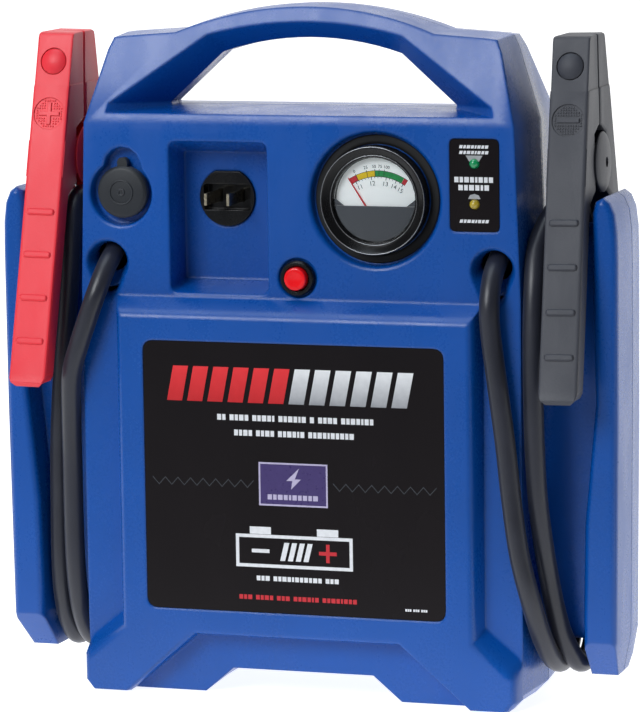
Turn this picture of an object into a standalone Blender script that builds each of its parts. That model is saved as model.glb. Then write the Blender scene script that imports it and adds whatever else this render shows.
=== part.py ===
"""Jump starter pack: a two-shell case with a handle, a voltmeter, a battery and two booster clamps."""

import math

import bmesh
import bpy
from mathutils import Matrix, Vector

MM = 0.001
GAP = 0.3

# Case, in millimetres: X to the right, Y to the back, Z up, front face at FRONT
PARTING = -5.0
FRONT = -47.0
REAR = 45.0
WALL = 3.0
BODY_DRAFT = 0.0283
CROWN_DROP = 2.0
SHOULDER = 311.0
CORNER_HEIGHT = 357.5
HANDLE_TOP = 374.0
EDGE_ROUND = 3.0

# Raised front panel and its label
PANEL_FACE = -59.5
PANEL_HALF = 99.3
PANEL_TOP = 209.5
LABEL_HALF = 84.3
LABEL_BOTTOM = 48.2
LABEL_TOP = 194.8
LABEL_THICK = 0.8
LABEL_RECESS = 1.3
LABEL_ROUND = 6.0
REAR_LABEL = (76.0, 70.0, 200.0)
PANEL_EDGE = ((4.0, 0.32, 0.0), (1.2, 0.096, 1.1), (0.0, 0.0, 3.0))
FOOT_LIFT = 0.6

# Side posts and the webs that join them to the case
POST_FRONT = -38.0
POST_REAR = 17.0
WEB_FRONT = -18.5
WEB_REAR = 9.0
WEB_BOTTOM = 32.0
WEB_TOP = 257.4
WEB_ROUND = 11.0

# Controls: centres on the front face as X, Z
OUTLET = (-100.0, 272.9)
OUTLET_RADIUS = 17.6
CAP = (-99.3, 273.5)
CAP_RADIUS = 14.2
CAP_HINGE_Z = 290.0
CHARGE_POCKET = (-72.0, -16.8, 219.7, 301.4)
CHARGE_DEPTH = 23.0
INLET = (-46.4, 269.5)
INLET_RADIUS = 15.6
BLADE_PITCH = 12.7
METER = (43.8, 272.0)
METER_RADIUS = 29.2
METER_POCKET = 35.8
METER_WINDOW = 22.6
METER_LIP = 2.6
METER_SPLIT = -3.4
NEEDLE_PIVOT = (METER[0] + 1.0, METER[1] - 14.0)
NEEDLE_REST = 32.9
NEEDLE_LENGTH = 30.2
BUTTON = (0.0, 229.0)
BUTTON_RADIUS = 6.3
STATUS = (98.8, 280.8)
STATUS_SIZE = (26.8, 48.8)
STATUS_RECESS = 0.9
LAMP_RADIUS = 2.7
LAMPS = (292.4, 270.8)

# Case screws: centres as X, Z
SCREWS = [(side * x, z) for x, z in ((113.0, 24.0), (114.0, 196.0), (84.0, 308.5)) for side in (-1, 1)]
SCREW_HEAD_Y = REAR - 6.0
SCREW_LENGTH = 46.0
PILOT_RADIUS = 2.1

# Booster leads and their holes; each route runs from inside the case to behind the clamp's rear grip
LEAD_RADIUS = 5.5
LEAD_HOLE = (108.3, 237.0)
LEAD_HOLE_RADIUS = 9.0
LEAD_START = 246.5
LEAD_SPACING = 17.0
RED_ROUTE = [
    (-108.3, -20, LEAD_START), (-108.3, -30, 242.6), (-108.4, -38.5, 238.4), (-109.4, -47.5, 231.5),
    (-112.4, -54.0, 219.5), (-117.5, -55.4, 205), (-123, -55.2, 190), (-128.4, -52.8, 174),
    (-131.4, -46.8, 150), (-133, -42.5, 125), (-133.6, -41, 95), (-133.4, -40, 65),
    (-132.7, -36, 42), (-132.4, -25, 25.5), (-132.4, -8, 18.8), (-132.6, 8, 23),
    (-133, 17.3, 38), (-133.5, 18.5, 60), (-134, 18.5, 120), (-134, 18.3, 200),
    (-134, 17.8, 238), (-134.8, 15.2, 253.8), (-136, 6.5, 264.6), (-137.3, -5, 267.8),
    (-137.6, -17.4, 264), (-137, -25.3, 252.6), (-137.2, -26.5, 240), (-140.0, -26.5, 208),
    (-143.2, -26.6, 178), (-145.8, -27.5, 135), (-146.2, -28.5, 100), (-146.2, -29, 62),
    (-145.6, -26, 39), (-145.0, -15, 22.5), (-145.2, 0, 18.8), (-146.2, 12, 25.5),
]
BLACK_ROUTE = [
    (108.3, -20, LEAD_START), (108.3, -30, 242.6), (108.3, -38.5, 238.4), (108.2, -47.8, 231),
    (108.3, -53.8, 219), (108.9, -54.6, 205), (112, -54.6, 180), (116.5, -54.4, 145),
    (119.7, -54.4, 115), (123.8, -54.2, 85), (129.2, -51.5, 60), (132.8, -43.5, 40),
    (134.6, -29, 25.5), (135.2, -10, 18.8), (135.2, 7, 22.6), (135, 17.0, 37),
    (134.8, 18.5, 60), (134, 18.5, 120), (133.6, 18.3, 200), (133.4, 17.8, 238),
    (134.0, 14.6, 253.8), (135.6, 6.5, 264.6), (136.4, -5, 267.8), (135.4, -16.8, 264.4),
    (132.2, -26.5, 255.5), (129.8, -35.5, 244.5), (129.8, -42.5, 230), (130.0, -46.5, 210),
    (130.2, -48, 180), (130.8, -47.2, 140), (132, -44, 108), (135.4, -36.5, 70),
    (140, -30.5, 42), (144.5, -20, 24.5), (146.6, -7, 18.8), (147.2, 8, 23),
]

# Clamps: each half lies outwards of the mid-plane and turns on a pin along X
CLAMP_X = 146.5
CLAMP_Y = -5.0
CLAMP_Z = 290.0
CLAMP_TILT = 1.04
CLAMP_HALF_WIDTH = 10.7
CLAMP_WALL = 2.0
CLAMP_LEAN = 0.2516
CLAMP_OUT = 34.0
CLAMP_TIP = 68.0
CLAMP_END = -123.0
HANDLE_DEEP = 14.0
EAR_RADIUS = 10.0
PIN_RADIUS = 2.5
BOSS_RADIUS = 16.2
RIVET_Z = 52.5
SIGN_Z = 24.4
RIB_HEIGHTS = (-28.2, -51.0, -74.0, -97.0)
GRIP_CORNER = 9.0

# Battery, its terminals and the bars that join them to the leads
BATTERY = (-90.5, 90.5, -38.5, 38.5, 17.6, 184.6)
TERMINAL_X = 78.0
TERMINAL_TOP = BATTERY[5] + 3.0
BOLT_HOLE = 3.3
BAR_X = 103.0
BAR_HALF_DEPTH = 7.0

BLUE = (0.012, 0.075, 0.335)
NEAR_BLACK = (0.012, 0.012, 0.013)
RUBBER_GREY = (0.028, 0.028, 0.03)
CLAMP_RED = (0.62, 0.018, 0.03)
CLAMP_BLACK = (0.03, 0.03, 0.032)
STEEL = (0.55, 0.55, 0.55)
COPPER = (0.75, 0.32, 0.16)
NICKEL = (0.75, 0.66, 0.5)
BRASS = (0.8, 0.6, 0.3)
LEAD_ALLOY = (0.45, 0.45, 0.47)
BOARD_GREEN = (0.02, 0.13, 0.05)
LEAD_BLACK = (0.022, 0.022, 0.024)
BUTTON_RED = (0.62, 0.02, 0.02)
NEEDLE_RED = (0.55, 0.02, 0.03)
LAMP_GREEN = (0.01, 0.24, 0.06)
LAMP_AMBER = (0.36, 0.3, 0.02)
DIAL_WHITE = (0.78, 0.8, 0.8)
LENS_CLEAR = (0.85, 0.9, 0.92)
BATTERY_GREY = (0.16, 0.16, 0.17)
WINDING_BROWN = (0.32, 0.2, 0.06)


# ---------------------------------------------------------------- building blocks


def clear_scene():
    for item in list(bpy.data.objects):
        bpy.data.objects.remove(item)


def make_object(name, points, faces):
    mesh = bpy.data.meshes.new(name)
    mesh.from_pydata([tuple(c * MM for c in p) for p in points], [], faces)
    work = bmesh.new()
    work.from_mesh(mesh)
    bmesh.ops.remove_doubles(work, verts=work.verts, dist=1e-7)
    bmesh.ops.recalc_face_normals(work, faces=work.faces)
    work.to_mesh(mesh)
    work.free()
    item = bpy.data.objects.new(name, mesh)
    bpy.context.scene.collection.objects.link(item)
    return item


def loft(name, rings):
    """A closed body through rings of equal length, capped at both ends."""
    count = len(rings[0])
    points = [p for ring in rings for p in ring]
    faces = []
    for level in range(len(rings) - 1):
        low = level * count
        for i in range(count):
            j = (i + 1) % count
            faces.append((low + i, low + j, low + count + j, low + count + i))
    faces.append(tuple(range(count)))
    faces.append(tuple(range(len(points) - count, len(points))))
    return make_object(name, points, faces)


def ring_xz(outline, y):
    return [(x, y, z) for x, z in outline]


def ring_yz(outline, x):
    return [(x, y, z) for y, z in outline]


def plate(name, outline, front, back):
    return loft(name, [ring_xz(outline, front), ring_xz(outline, back)])


def box(name, low, high):
    outline = [(low[0], low[2]), (high[0], low[2]), (high[0], high[2]), (low[0], high[2])]
    return plate(name, outline, low[1], high[1])


def lathe(name, profile, steps, place):
    """Turns (radius, height) pairs about the local Z axis; place carries the result to its position."""
    points = []
    rows = []
    for radius, height in profile:
        if radius == 0:
            rows.append([len(points)] * steps)
            points.append(place @ Vector((0, 0, height)))
            continue
        rows.append(list(range(len(points), len(points) + steps)))
        for i in range(steps):
            turn = 2 * math.pi * i / steps
            points.append(place @ Vector((radius * math.cos(turn), radius * math.sin(turn), height)))
    closed = profile[0][0] != 0
    pairs = list(zip(rows, rows[1:] + rows[:1])) if closed else list(zip(rows, rows[1:]))
    faces = []
    for low, high in pairs:
        for i in range(steps):
            j = (i + 1) % steps
            corners = []
            for corner in (low[i], low[j], high[j], high[i]):
                if corner not in corners:
                    corners.append(corner)
            faces.append(tuple(corners))
    return make_object(name, points, faces)


def facing_front(x, y, z):
    """A frame whose local Z points out of the front of the case."""
    return Matrix.Translation((x, y, z)) @ Matrix.Rotation(math.radians(90), 4, "X")


def along_x(x, y, z):
    return Matrix.Translation((x, y, z)) @ Matrix.Rotation(math.radians(90), 4, "Y")


def cylinder(name, radius, low, high, steps, place):
    return lathe(name, [(0, low), (radius, low), (radius, high), (0, high)], steps, place)


def combine(target, other, operation):
    """Applies a Boolean with the exact solver and removes the second object."""
    modifier = target.modifiers.new(operation, "BOOLEAN")
    modifier.operation = operation
    modifier.solver = "EXACT"
    modifier.object = other
    settle(target)
    bpy.data.objects.remove(other)
    return target


def settle(target):
    """Replaces an object's mesh by its evaluated one."""
    graph = bpy.context.evaluated_depsgraph_get()
    mesh = bpy.data.meshes.new_from_object(target.evaluated_get(graph))
    target.modifiers.clear()
    target.data = mesh


def cut(target, *others):
    for other in others:
        combine(target, other, "DIFFERENCE")
    return target


def join(target, *others):
    for other in others:
        combine(target, other, "UNION")
    return target


def tidy_flats(target):
    """Merges faces that lie in one plane, so that edges can be rounded."""
    work = bmesh.new()
    work.from_mesh(target.data)
    bmesh.ops.remove_doubles(work, verts=work.verts, dist=1e-5)
    bmesh.ops.dissolve_limit(
        work, angle_limit=math.radians(1.0), verts=work.verts, edges=work.edges, delimit=set()
    )
    work.to_mesh(target.data)
    work.free()


def round_edges(target, width, segments, angle):
    modifier = target.modifiers.new("round", "BEVEL")
    modifier.width = width * MM
    modifier.segments = segments
    modifier.limit_method = "ANGLE"
    modifier.angle_limit = math.radians(angle)
    settle(target)


def move(target, place):
    target.data.transform(Matrix.Scale(MM, 4) @ place @ Matrix.Scale(1 / MM, 4))
    return target


def mirrored(right):
    """A whole outline from its right half, listed from the bottom centre up to the top centre."""
    left = [(-x, z) for x, z in reversed(right) if x > 0]
    return [p for p in right] + left


def grow(outline, distance):
    """Moves each side of a counter-clockwise outline outwards."""
    count = len(outline)
    result = []
    for i in range(count):
        before = Vector(outline[i]) - Vector(outline[i - 1])
        after = Vector(outline[(i + 1) % count]) - Vector(outline[i])
        first = Vector((before.y, -before.x)).normalized()
        second = Vector((after.y, -after.x)).normalized()
        middle = (first + second).normalized()
        reach = distance / max(middle.dot(first), 0.35)
        result.append(tuple(Vector(outline[i]) + middle * reach))
    return result


def soften(outline, radius, steps=3):
    """Rounds every corner of an outline."""
    count = len(outline)
    result = []
    for i in range(count):
        here = Vector(outline[i])
        back = Vector(outline[i - 1]) - here
        ahead = Vector(outline[(i + 1) % count]) - here
        reach = min(radius, 0.45 * back.length, 0.45 * ahead.length)
        start = here + back.normalized() * reach
        end = here + ahead.normalized() * reach
        for k in range(steps + 1):
            t = k / steps
            point = start * (1 - t) ** 2 + here * 2 * t * (1 - t) + end * t**2
            result.append(tuple(point))
    return result


def circle(x, z, radius, steps):
    return [
        (x + radius * math.cos(2 * math.pi * i / steps), z + radius * math.sin(2 * math.pi * i / steps))
        for i in range(steps)
    ]


def pocket(name, outline, floor, draft, lip):
    """A cutter from in front of the case face down to a floor, with a rounded lip and drafted sides."""
    rings = [ring_xz(grow(outline, lip), FRONT - 1), ring_xz(grow(outline, lip), FRONT - 0.01)]
    for degrees in (30, 60, 90):
        turn = math.radians(degrees)
        rings.append(ring_xz(grow(outline, lip * (1 - math.sin(turn))), FRONT + lip * (1 - math.cos(turn))))
    rings.append(ring_xz(grow(outline, -draft), floor))
    return loft(name, rings)


def paint(target, colour, roughness, metallic=0.0):
    material = bpy.data.materials.new(target.name)
    material.use_nodes = True
    shader = material.node_tree.nodes["Principled BSDF"]
    shader.inputs["Base Color"].default_value = (*colour, 1)
    shader.inputs["Roughness"].default_value = roughness
    shader.inputs["Metallic"].default_value = metallic
    target.data.materials.clear()
    target.data.materials.append(material)
    return target


def catmull(route, spacing):
    """Points at an even spacing along a smooth curve through the route."""
    route = [Vector(p) for p in route]
    ends = [route[0] * 2 - route[1]] + route + [route[-1] * 2 - route[-2]]
    fine = []
    for a, b, c, d in zip(ends, ends[1:], ends[2:], ends[3:]):
        for k in range(24):
            t = k / 24
            bend = (2 * a - 5 * b + 4 * c - d) * t**2 + (3 * b - 3 * c + d - a) * t**3
            fine.append((2 * b + (c - a) * t + bend) / 2)
    fine.append(route[-1])
    lengths = [0.0]
    for p, q in zip(fine, fine[1:]):
        lengths.append(lengths[-1] + (q - p).length)
    count = max(2, round(lengths[-1] / spacing))
    result = []
    k = 0
    for i in range(count + 1):
        want = lengths[-1] * i / count
        while k < len(fine) - 2 and lengths[k + 1] < want:
            k += 1
        span = lengths[k + 1] - lengths[k]
        result.append(fine[k].lerp(fine[k + 1], (want - lengths[k]) / span))
    return result


def wire(name, points, radius, resolution):
    curve = bpy.data.curves.new(name, "CURVE")
    curve.dimensions = "3D"
    curve.bevel_depth = radius * MM
    curve.bevel_resolution = resolution
    curve.use_fill_caps = True
    spline = curve.splines.new("POLY")
    spline.points.add(len(points) - 1)
    for spot, point in zip(spline.points, points):
        spot.co = (*(Vector(point) * MM), 1)
    item = bpy.data.objects.new(name, curve)
    bpy.context.scene.collection.objects.link(item)
    return item


# ---------------------------------------------------------------- case


def handle_arc(top, ends, height, steps):
    """Right half of an arch, from its outer end to the centre."""
    radius = (ends**2 + (top - height) ** 2) / (2 * (top - height))
    sweep = math.asin(ends / radius)
    turns = [sweep * (1 - i / steps) for i in range(steps + 1)]
    return [(radius * math.sin(turn), top - radius + radius * math.cos(turn)) for turn in turns]


def body_outline():
    right = [(41.0, 13.7), (57.5, 0), (119.5, 0), (126.5, 7), (127.1, 40), (127.1, 221)]
    right += [(125.2, 270), (124.0, SHOULDER + 2), (112.6, 351), (109.5, CORNER_HEIGHT), (104, 358.2)]
    right += handle_arc(HANDLE_TOP, 74.0, 360.3, 9)
    return mirrored(right)


def body_ring(outline, y):
    reach = FRONT if y < PARTING else REAR
    share = (y - PARTING) / (reach - PARTING)
    return [
        (x * (1 - BODY_DRAFT * share), y, z - (CROWN_DROP * share if z > 100 else 0)) for x, z in outline
    ]


def side_profile():
    front = [(FRONT, -5), (FRONT, SHOULDER), (-25.0, 375.0), (-21.0, 380.0)]
    rear = [(8.0, 380.0), (12.0, 356.0), (38.5, 317.5), (REAR, 305.0), (REAR, -5)]
    return [*rear[::-1], *front[::-1]]


def hole_rings():
    """The handle opening: narrowest at mid-depth and flared towards both faces."""
    def outline(apex, low, tip, kink, kink_height, top):
        right = [(tip - 0.5, low), (tip, apex)] + handle_arc(top, kink, kink_height, 7)
        return mirrored([(0.01, low)] + right)

    front = outline(321.5, 315.9, 114.0, 60.0, 371.5, 381.0)
    middle_front = outline(320.4, 318.4, 80.8, 50.6, 347.7, 356.0)
    middle_rear = outline(320.4, 318.6, 80.8, 50.6, 347.7, 356.0)
    rear = outline(321.5, 315.6, 112.0, 60.0, 368.0, 377.0)
    return [ring_xz(front, -50), ring_xz(middle_front, -16), ring_xz(middle_rear, 0), ring_xz(rear, 52)]


def body_solid(name, inset):
    """The main case with its handle, or the space inside it when inset is the wall."""
    outline = grow(body_outline(), -inset)
    if inset:
        outline = [(x, max(z, WALL)) for x, z in outline]
    body = loft(name, [body_ring(outline, y) for y in (FRONT, PARTING, REAR)])
    profile = grow(side_profile(), -inset)
    side = loft("side", [ring_yz(profile, -150), ring_yz(profile, 150)])
    combine(body, side, "INTERSECT")
    rings = hole_rings()
    if inset:
        rings = [ring_xz(grow([(x, z) for x, _, z in ring], inset), ring[0][1]) for ring in rings]
    cut(body, loft("opening", rings))
    return body


def panel_solid():
    face = [(57.4, 33.5), (96.5, 0.0), (117.5, 0.0), (122.0, 5.0), (122.0, 17.5), (117.5, 21.5)]
    face += [(PANEL_HALF, 36.5), (PANEL_HALF, PANEL_TOP)]
    base = [(57.4, 33.5), (96.5, 0.0), (118.5, 0.0), (123.2, 5.0), (123.2, 24.0), (120.5, 28.5)]
    base += [(PANEL_HALF + 3.6, 43.0), (PANEL_HALF + 3.6, PANEL_TOP + 7.8)]
    rings = [ring_xz(mirrored(base), FRONT + 1), ring_xz(mirrored(base), FRONT)]
    for depth, share, inset in PANEL_EDGE:
        outline = mirrored([tuple(Vector(a).lerp(Vector(b), share)) for a, b in zip(face, base)])
        inner = grow(outline, -inset)
        level = [(x, FOOT_LIFT if inset and foot == 0 else z) for (x, z), (_, foot) in zip(inner, outline)]
        rings.append(ring_xz(level, PANEL_FACE + depth))
    return loft("panel", rings)


def post_outline():
    return [
        (155.0, 14.5),
        (168.0, 14.5),
        (171.9, 36.0),
        (173.0, 150.0),
        (173.2, 240.0),
        (172.9, 255.0),
        (171.6, 265.5),
        (169.0, 271.6),
        (165.4, 274.3),
        (161.8, 272.0),
        (160.0, 266.0),
        (160.1, 255.0),
        (160.6, 200.0),
        (161.5, 165.0),
        (155.4, 100.0),
        (154.4, 50.0),
    ]


def post_ring(y, inset, widen):
    shaped = [(x - widen if x < 163 else x + 0.4 * widen, z) for x, z in post_outline()]
    return ring_xz(grow(shaped, -inset), y)


def post_solid():
    rings = [
        post_ring(POST_FRONT, 3.4, 0),
        post_ring(POST_FRONT + 0.6, 1.8, 0),
        post_ring(POST_FRONT + 1.9, 0.6, 0.2),
        post_ring(POST_FRONT + 4.0, 0, 0.5),
        post_ring(PARTING, 0, 1.5),
        post_ring(POST_REAR - 4.0, 0, 0.8),
        post_ring(POST_REAR - 1.2, 1.4, 0.6),
        post_ring(POST_REAR, 3.3, 0.5),
    ]
    post = loft("post", rings)
    toe = [(-60.0, 58.6), (-60.0, -10.0), (-16.5, -10.0), (-16.5, 14.0)]
    heel = [(6.0, 14.0), (6.0, -10.0), (40.0, -10.0), (40.0, 48.0)]
    for outline in (toe, heel):
        cut(post, loft("toe", [ring_yz(outline, 140), ring_yz(outline, 190)]))
    return post


def post_space():
    """The hollow of a side post, open at the parting plane once the shells are separated."""
    outline = [(158.4, 46), (168.4, 46), (169.3, 150), (169.3, 262), (163.6, 262), (164.6, 166), (158.6, 100)]
    wide = [(x - 1.3 if x < 166 else x, z) for x, z in outline]
    rings = [
        ring_xz(outline, POST_FRONT + 5),
        ring_xz(wide, PARTING),
        ring_xz(outline, POST_REAR - 5),
    ]
    return loft("post space", rings)


def web_solid(inset, ends):
    corners = [
        (WEB_FRONT + inset, WEB_BOTTOM + inset),
        (WEB_REAR - inset, WEB_BOTTOM + inset),
        (WEB_REAR - inset, WEB_TOP - inset),
        (WEB_FRONT + inset, WEB_TOP - inset),
    ]
    outline = soften(corners, WEB_ROUND - inset)
    return loft("web", [ring_yz(outline, ends[0]), ring_yz(outline, ends[1])])


def flip_x(target):
    target.data.transform(Matrix.Scale(-1, 4, (1, 0, 0)))
    target.data.flip_normals()
    return target


def whole_case():
    """Both shells in one piece, hollow inside."""
    case = body_solid("case", 0)
    tidy_flats(case)
    round_edges(case, EDGE_ROUND, 2, 24)
    join(case, panel_solid())
    for side in (1, -1):
        post = join(post_solid(), web_solid(0, (116, 163)))
        join(case, post if side > 0 else flip_x(post))
    spaces = body_solid("spaces", WALL)
    join(spaces, box("panel space", (-95, PANEL_FACE + WALL, 42), (95, FRONT + WALL + 2, 205)))
    for side in (1, -1):
        space = join(post_space(), web_solid(WALL, (120, 160)))
        join(spaces, space if side > 0 else flip_x(space))
    return cut(case, spaces)


def half_of(case, name, low, high):
    half = case.copy()
    half.data = case.data.copy()
    half.name = name
    bpy.context.scene.collection.objects.link(half)
    return combine(half, box("side", (-200, low, -10), (200, high, 400)), "INTERSECT")


def keyhole():
    """Outline of the outlet's recess: a circle with a smaller lobe above it for the cap's hinge."""
    lobe = Vector((0.9, 14.5))
    lobe_radius = 10.6
    outline = []
    for i in range(32):
        turn = 2 * math.pi * i / 32
        ray = Vector((math.cos(turn), math.sin(turn)))
        reach = OUTLET_RADIUS
        along = ray.dot(lobe)
        beside = lobe.length_squared - along**2
        if along > 0 and beside < lobe_radius**2:
            reach = max(reach, along + math.sqrt(lobe_radius**2 - beside))
        outline.append((OUTLET[0] + ray.x * reach, OUTLET[1] + ray.y * reach))
    return outline


def lead_funnel(side):
    """The tear-drop recess that leads a cable down out of its hole."""
    def teardrop(round_part, tail, z):
        outline = []
        for i in range(28):
            turn = 2 * math.pi * i / 28
            down = (math.degrees(turn) - 270 + 180) % 360 - 180
            reach = round_part + tail * math.exp(-((down / 30) ** 2))
            outline.append((side * LEAD_HOLE[0] + reach * math.cos(turn), z + reach * math.sin(turn)))
        return outline

    rings = [
        ring_xz(teardrop(12.6, 9.0, LEAD_HOLE[1] - 1.5), FRONT - 1),
        ring_xz(teardrop(12.6, 9.0, LEAD_HOLE[1] - 1.5), FRONT - 0.01),
        ring_xz(teardrop(11.2, 8.0, LEAD_HOLE[1] - 1.5), FRONT + 1.2),
        ring_xz(teardrop(8.3, 0.8, LEAD_HOLE[1]), FRONT + 9.5),
    ]
    return loft("funnel", rings)


def charge_pocket():
    x0, x1, z0, z1 = CHARGE_POCKET
    mouth = soften([(x0, z0), (x1, z0), (x1, z1), (x0, z1)], 4.0)
    floor = [(x0 + 0.8, z0 + 4.8), (x1 - 0.8, z0 + 4.8), (x1 - 0.8, z1 - 7.0), (x0 + 0.8, z1 - 7.0)]
    rings = [
        ring_xz(grow(mouth, 1.6), FRONT - 1),
        ring_xz(grow(mouth, 1.6), FRONT - 0.01),
        ring_xz(grow(mouth, 0.5), FRONT + 0.6),
        ring_xz(mouth, FRONT + 1.6),
        ring_xz(soften(floor, 1.5), FRONT + CHARGE_DEPTH),
    ]
    return loft("charge pocket", rings)


def front_bosses():
    """Thickening behind the controls, the cable holes and the screws."""
    x0, x1, z0, z1 = CHARGE_POCKET
    skin = FRONT + 1.5
    bosses = [
        box("boss", (x0 - 2.4, skin, z0 - 2.0), (x1 + 2.4, FRONT + CHARGE_DEPTH + 2.5, z1 + 1.5)),
        plate("boss", grow(keyhole(), 2.6), skin, FRONT + 9.6),
        plate("boss", circle(*METER, METER_POCKET + 2.6, 32), skin, FRONT + 8.5),
        plate("boss", circle(*BUTTON, 13.4, 20), skin, FRONT + 5.5),
        box("boss", (STATUS[0] - 12, skin, STATUS[1] - 22), (STATUS[0] + 12, FRONT + 4.6, STATUS[1] + 22)),
    ]
    for side in (-1, 1):
        around = circle(side * LEAD_HOLE[0], LEAD_HOLE[1] - 1, 14.6, 20)
        bosses.append(plate("boss", around, skin, FRONT + 12.5))
    for x, z in SCREWS:
        bosses.append(plate("boss", circle(x, z, 5.0, 10), skin, PARTING - 0.5 * GAP))
    return bosses


def front_cutters():
    cutters = [
        charge_pocket(),
        plate("inlet hole", inlet_outline(INLET_RADIUS + GAP), FRONT + 20, PARTING),
        pocket("outlet pocket", keyhole(), FRONT + 7.0, 0.4, 1.6),
        plate("outlet hole", circle(*CAP, 12.4, 28), FRONT + 5, FRONT + 12),
        pocket("meter pocket", circle(*METER, METER_POCKET, 36), FRONT + 6.0, 0.4, METER_LIP),
        plate("meter hole", circle(*METER, 26.6, 32), FRONT + 4, FRONT + 10),
        pocket("button pocket", circle(*BUTTON, 10.6, 28), FRONT + 2.6, 0.2, 1.4),
        plate("button hole", circle(*BUTTON, 7.8, 20), FRONT + 1, FRONT + 8),
        plate("status recess", status_outline(GAP), FRONT - 1, FRONT + STATUS_RECESS),
        plate("label recess", label_outline(GAP), PANEL_FACE - 1, PANEL_FACE + LABEL_RECESS),
    ]
    for z in LAMPS:
        cutters.append(plate("lamp hole", circle(STATUS[0], z, LAMP_RADIUS + GAP, 14), FRONT - 1, FRONT + 6))
    for side in (-1, 1):
        hole = circle(side * LEAD_HOLE[0], LEAD_HOLE[1] + 1.2, LEAD_HOLE_RADIUS, 20)
        cutters += [lead_funnel(side), plate("lead hole", hole, FRONT + 8, FRONT + 14)]
    for x, z in SCREWS:
        cutters.append(plate("pilot", circle(x, z, PILOT_RADIUS, 10), -16.0, PARTING + 1))
    return cutters


def front_shell(case):
    shell = half_of(case, "front_shell", -80, PARTING - 0.5 * GAP)
    join(shell, *front_bosses())
    cut(shell, *front_cutters())
    return paint(shell, BLUE, 0.36)


def rear_shell(case):
    shell = half_of(case, "rear_shell", PARTING + 0.5 * GAP, 80)
    for x, z in SCREWS:
        join(shell, plate("boss", circle(x, z, 6.0, 10), PARTING + 0.5 * GAP, REAR - 1.5))
    cut(shell, plate("rear recess", rear_label_outline(GAP), REAR - LABEL_RECESS, REAR + 2))
    for x, z in SCREWS:
        cut(shell, plate("clear hole", circle(x, z, PILOT_RADIUS, 10), PARTING - 1, REAR + 1))
        cut(shell, plate("head hole", circle(x, z, 4.4, 14), SCREW_HEAD_Y, REAR + 6))
    return paint(shell, BLUE, 0.36)


def case_screws():
    for number, (x, z) in enumerate(SCREWS, 1):
        place = Matrix.Translation((x, SCREW_HEAD_Y + GAP, z)) @ Matrix.Rotation(math.radians(-90), 4, "X")
        profile = [(0, -SCREW_LENGTH), (1.2, -SCREW_LENGTH + 2), (1.7, -SCREW_LENGTH + 4), (1.7, 0), (4.0, 0)]
        profile += [(4.0, 1.6), (2.8, 2.6), (1.5, 2.6), (1.2, 1.2), (0, 1.2)]
        paint(lathe(f"case_screw_{number}", profile, 8, place), STEEL, 0.35, 1.0)


# ---------------------------------------------------------------- labels and lamps


def label_outline(spare=0.0):
    half = LABEL_HALF + spare
    low = LABEL_BOTTOM - spare
    high = LABEL_TOP + spare
    return soften([(-half, low), (half, low), (half, high), (-half, high)], LABEL_ROUND, 4)


def status_outline(spare=0.0):
    half_x = 0.5 * STATUS_SIZE[0] + spare
    half_z = 0.5 * STATUS_SIZE[1] + spare
    x, z = STATUS
    low = [(x - half_x, z - half_z), (x + half_x, z - half_z)]
    high = [(x + half_x, z + half_z), (x - half_x, z + half_z)]
    return soften(low + high, 3.0)


def front_label():
    back = PANEL_FACE + LABEL_RECESS - GAP
    paint(plate("front_label", label_outline(), back - LABEL_THICK, back), NEAR_BLACK, 0.28)


def rear_label_outline(spare=0.0):
    half = REAR_LABEL[0] + spare
    low = REAR_LABEL[1] - spare
    high = REAR_LABEL[2] + spare
    return soften([(-half, low), (half, low), (half, high), (-half, high)], LABEL_ROUND)


def rear_label():
    front = REAR - LABEL_RECESS + GAP
    paint(plate("rear_label", rear_label_outline(), front, front + LABEL_THICK), NEAR_BLACK, 0.3)


def status_label():
    back = FRONT + STATUS_RECESS - GAP
    label = plate("status_label", status_outline(), back - STATUS_RECESS, back)
    for z in LAMPS:
        cut(label, plate("hole", circle(STATUS[0], z, LAMP_RADIUS + GAP, 14), FRONT - 2, FRONT + 2))
    paint(label, NEAR_BLACK, 0.3)


def status_lamp(name, z, colour):
    place = facing_front(STATUS[0], FRONT, z)
    profile = [(0, -7.4), (LAMP_RADIUS + 0.5, -7.4), (LAMP_RADIUS + 0.5, -4.9), (LAMP_RADIUS, -4.9)]
    profile += [(LAMP_RADIUS, 0.6), (0.82 * LAMP_RADIUS, 1.9), (0.45 * LAMP_RADIUS, 2.7), (0, 2.9)]
    paint(lathe(name, profile, 14, place), colour, 0.12)


def lamp_board():
    low = (STATUS[0] - 9, FRONT + 7.8, STATUS[1] - 20)
    high = (STATUS[0] + 9, FRONT + 9.4, STATUS[1] + 20)
    paint(box("lamp_board", low, high), BOARD_GREEN, 0.5)


# ---------------------------------------------------------------- voltmeter, button and outlets


def meter_housing():
    """Black cup behind the dial, with its bezel in front of the recess floor."""
    place = facing_front(METER[0], FRONT, METER[1])
    face = 4.6
    floor = -5.7
    profile = [(0, -30), (24.0, -30), (26.2, -27), (26.2, floor)]
    profile += [(METER_RADIUS - 0.6, floor), (METER_RADIUS, floor + 1.0)]
    profile += [(METER_RADIUS, face - 0.6), (METER_RADIUS - 0.3, face), (METER_RADIUS - 0.9, face)]
    profile += [(METER_RADIUS - 1.5, face - 0.8), (METER_WINDOW + 1.9, face - 2.6)]
    profile += [(METER_WINDOW + 1.3, face - 2.2), (METER_WINDOW + 0.6, face - 2.6), (METER_WINDOW, face - 4.2)]
    profile += [(METER_WINDOW, -4.2), (0, -4.2)]
    paint(lathe("meter_housing", profile, 32, place), NEAR_BLACK, 0.22)


def half_moon(radius, level, steps):
    """The part of a disc above a level, relative to the disc's centre."""
    start = math.asin(level / radius)
    sweep = math.pi - 2 * start
    turns = [start + sweep * i / steps for i in range(steps + 1)]
    return [(METER[0] + radius * math.cos(turn), METER[1] + radius * math.sin(turn)) for turn in turns]


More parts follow.
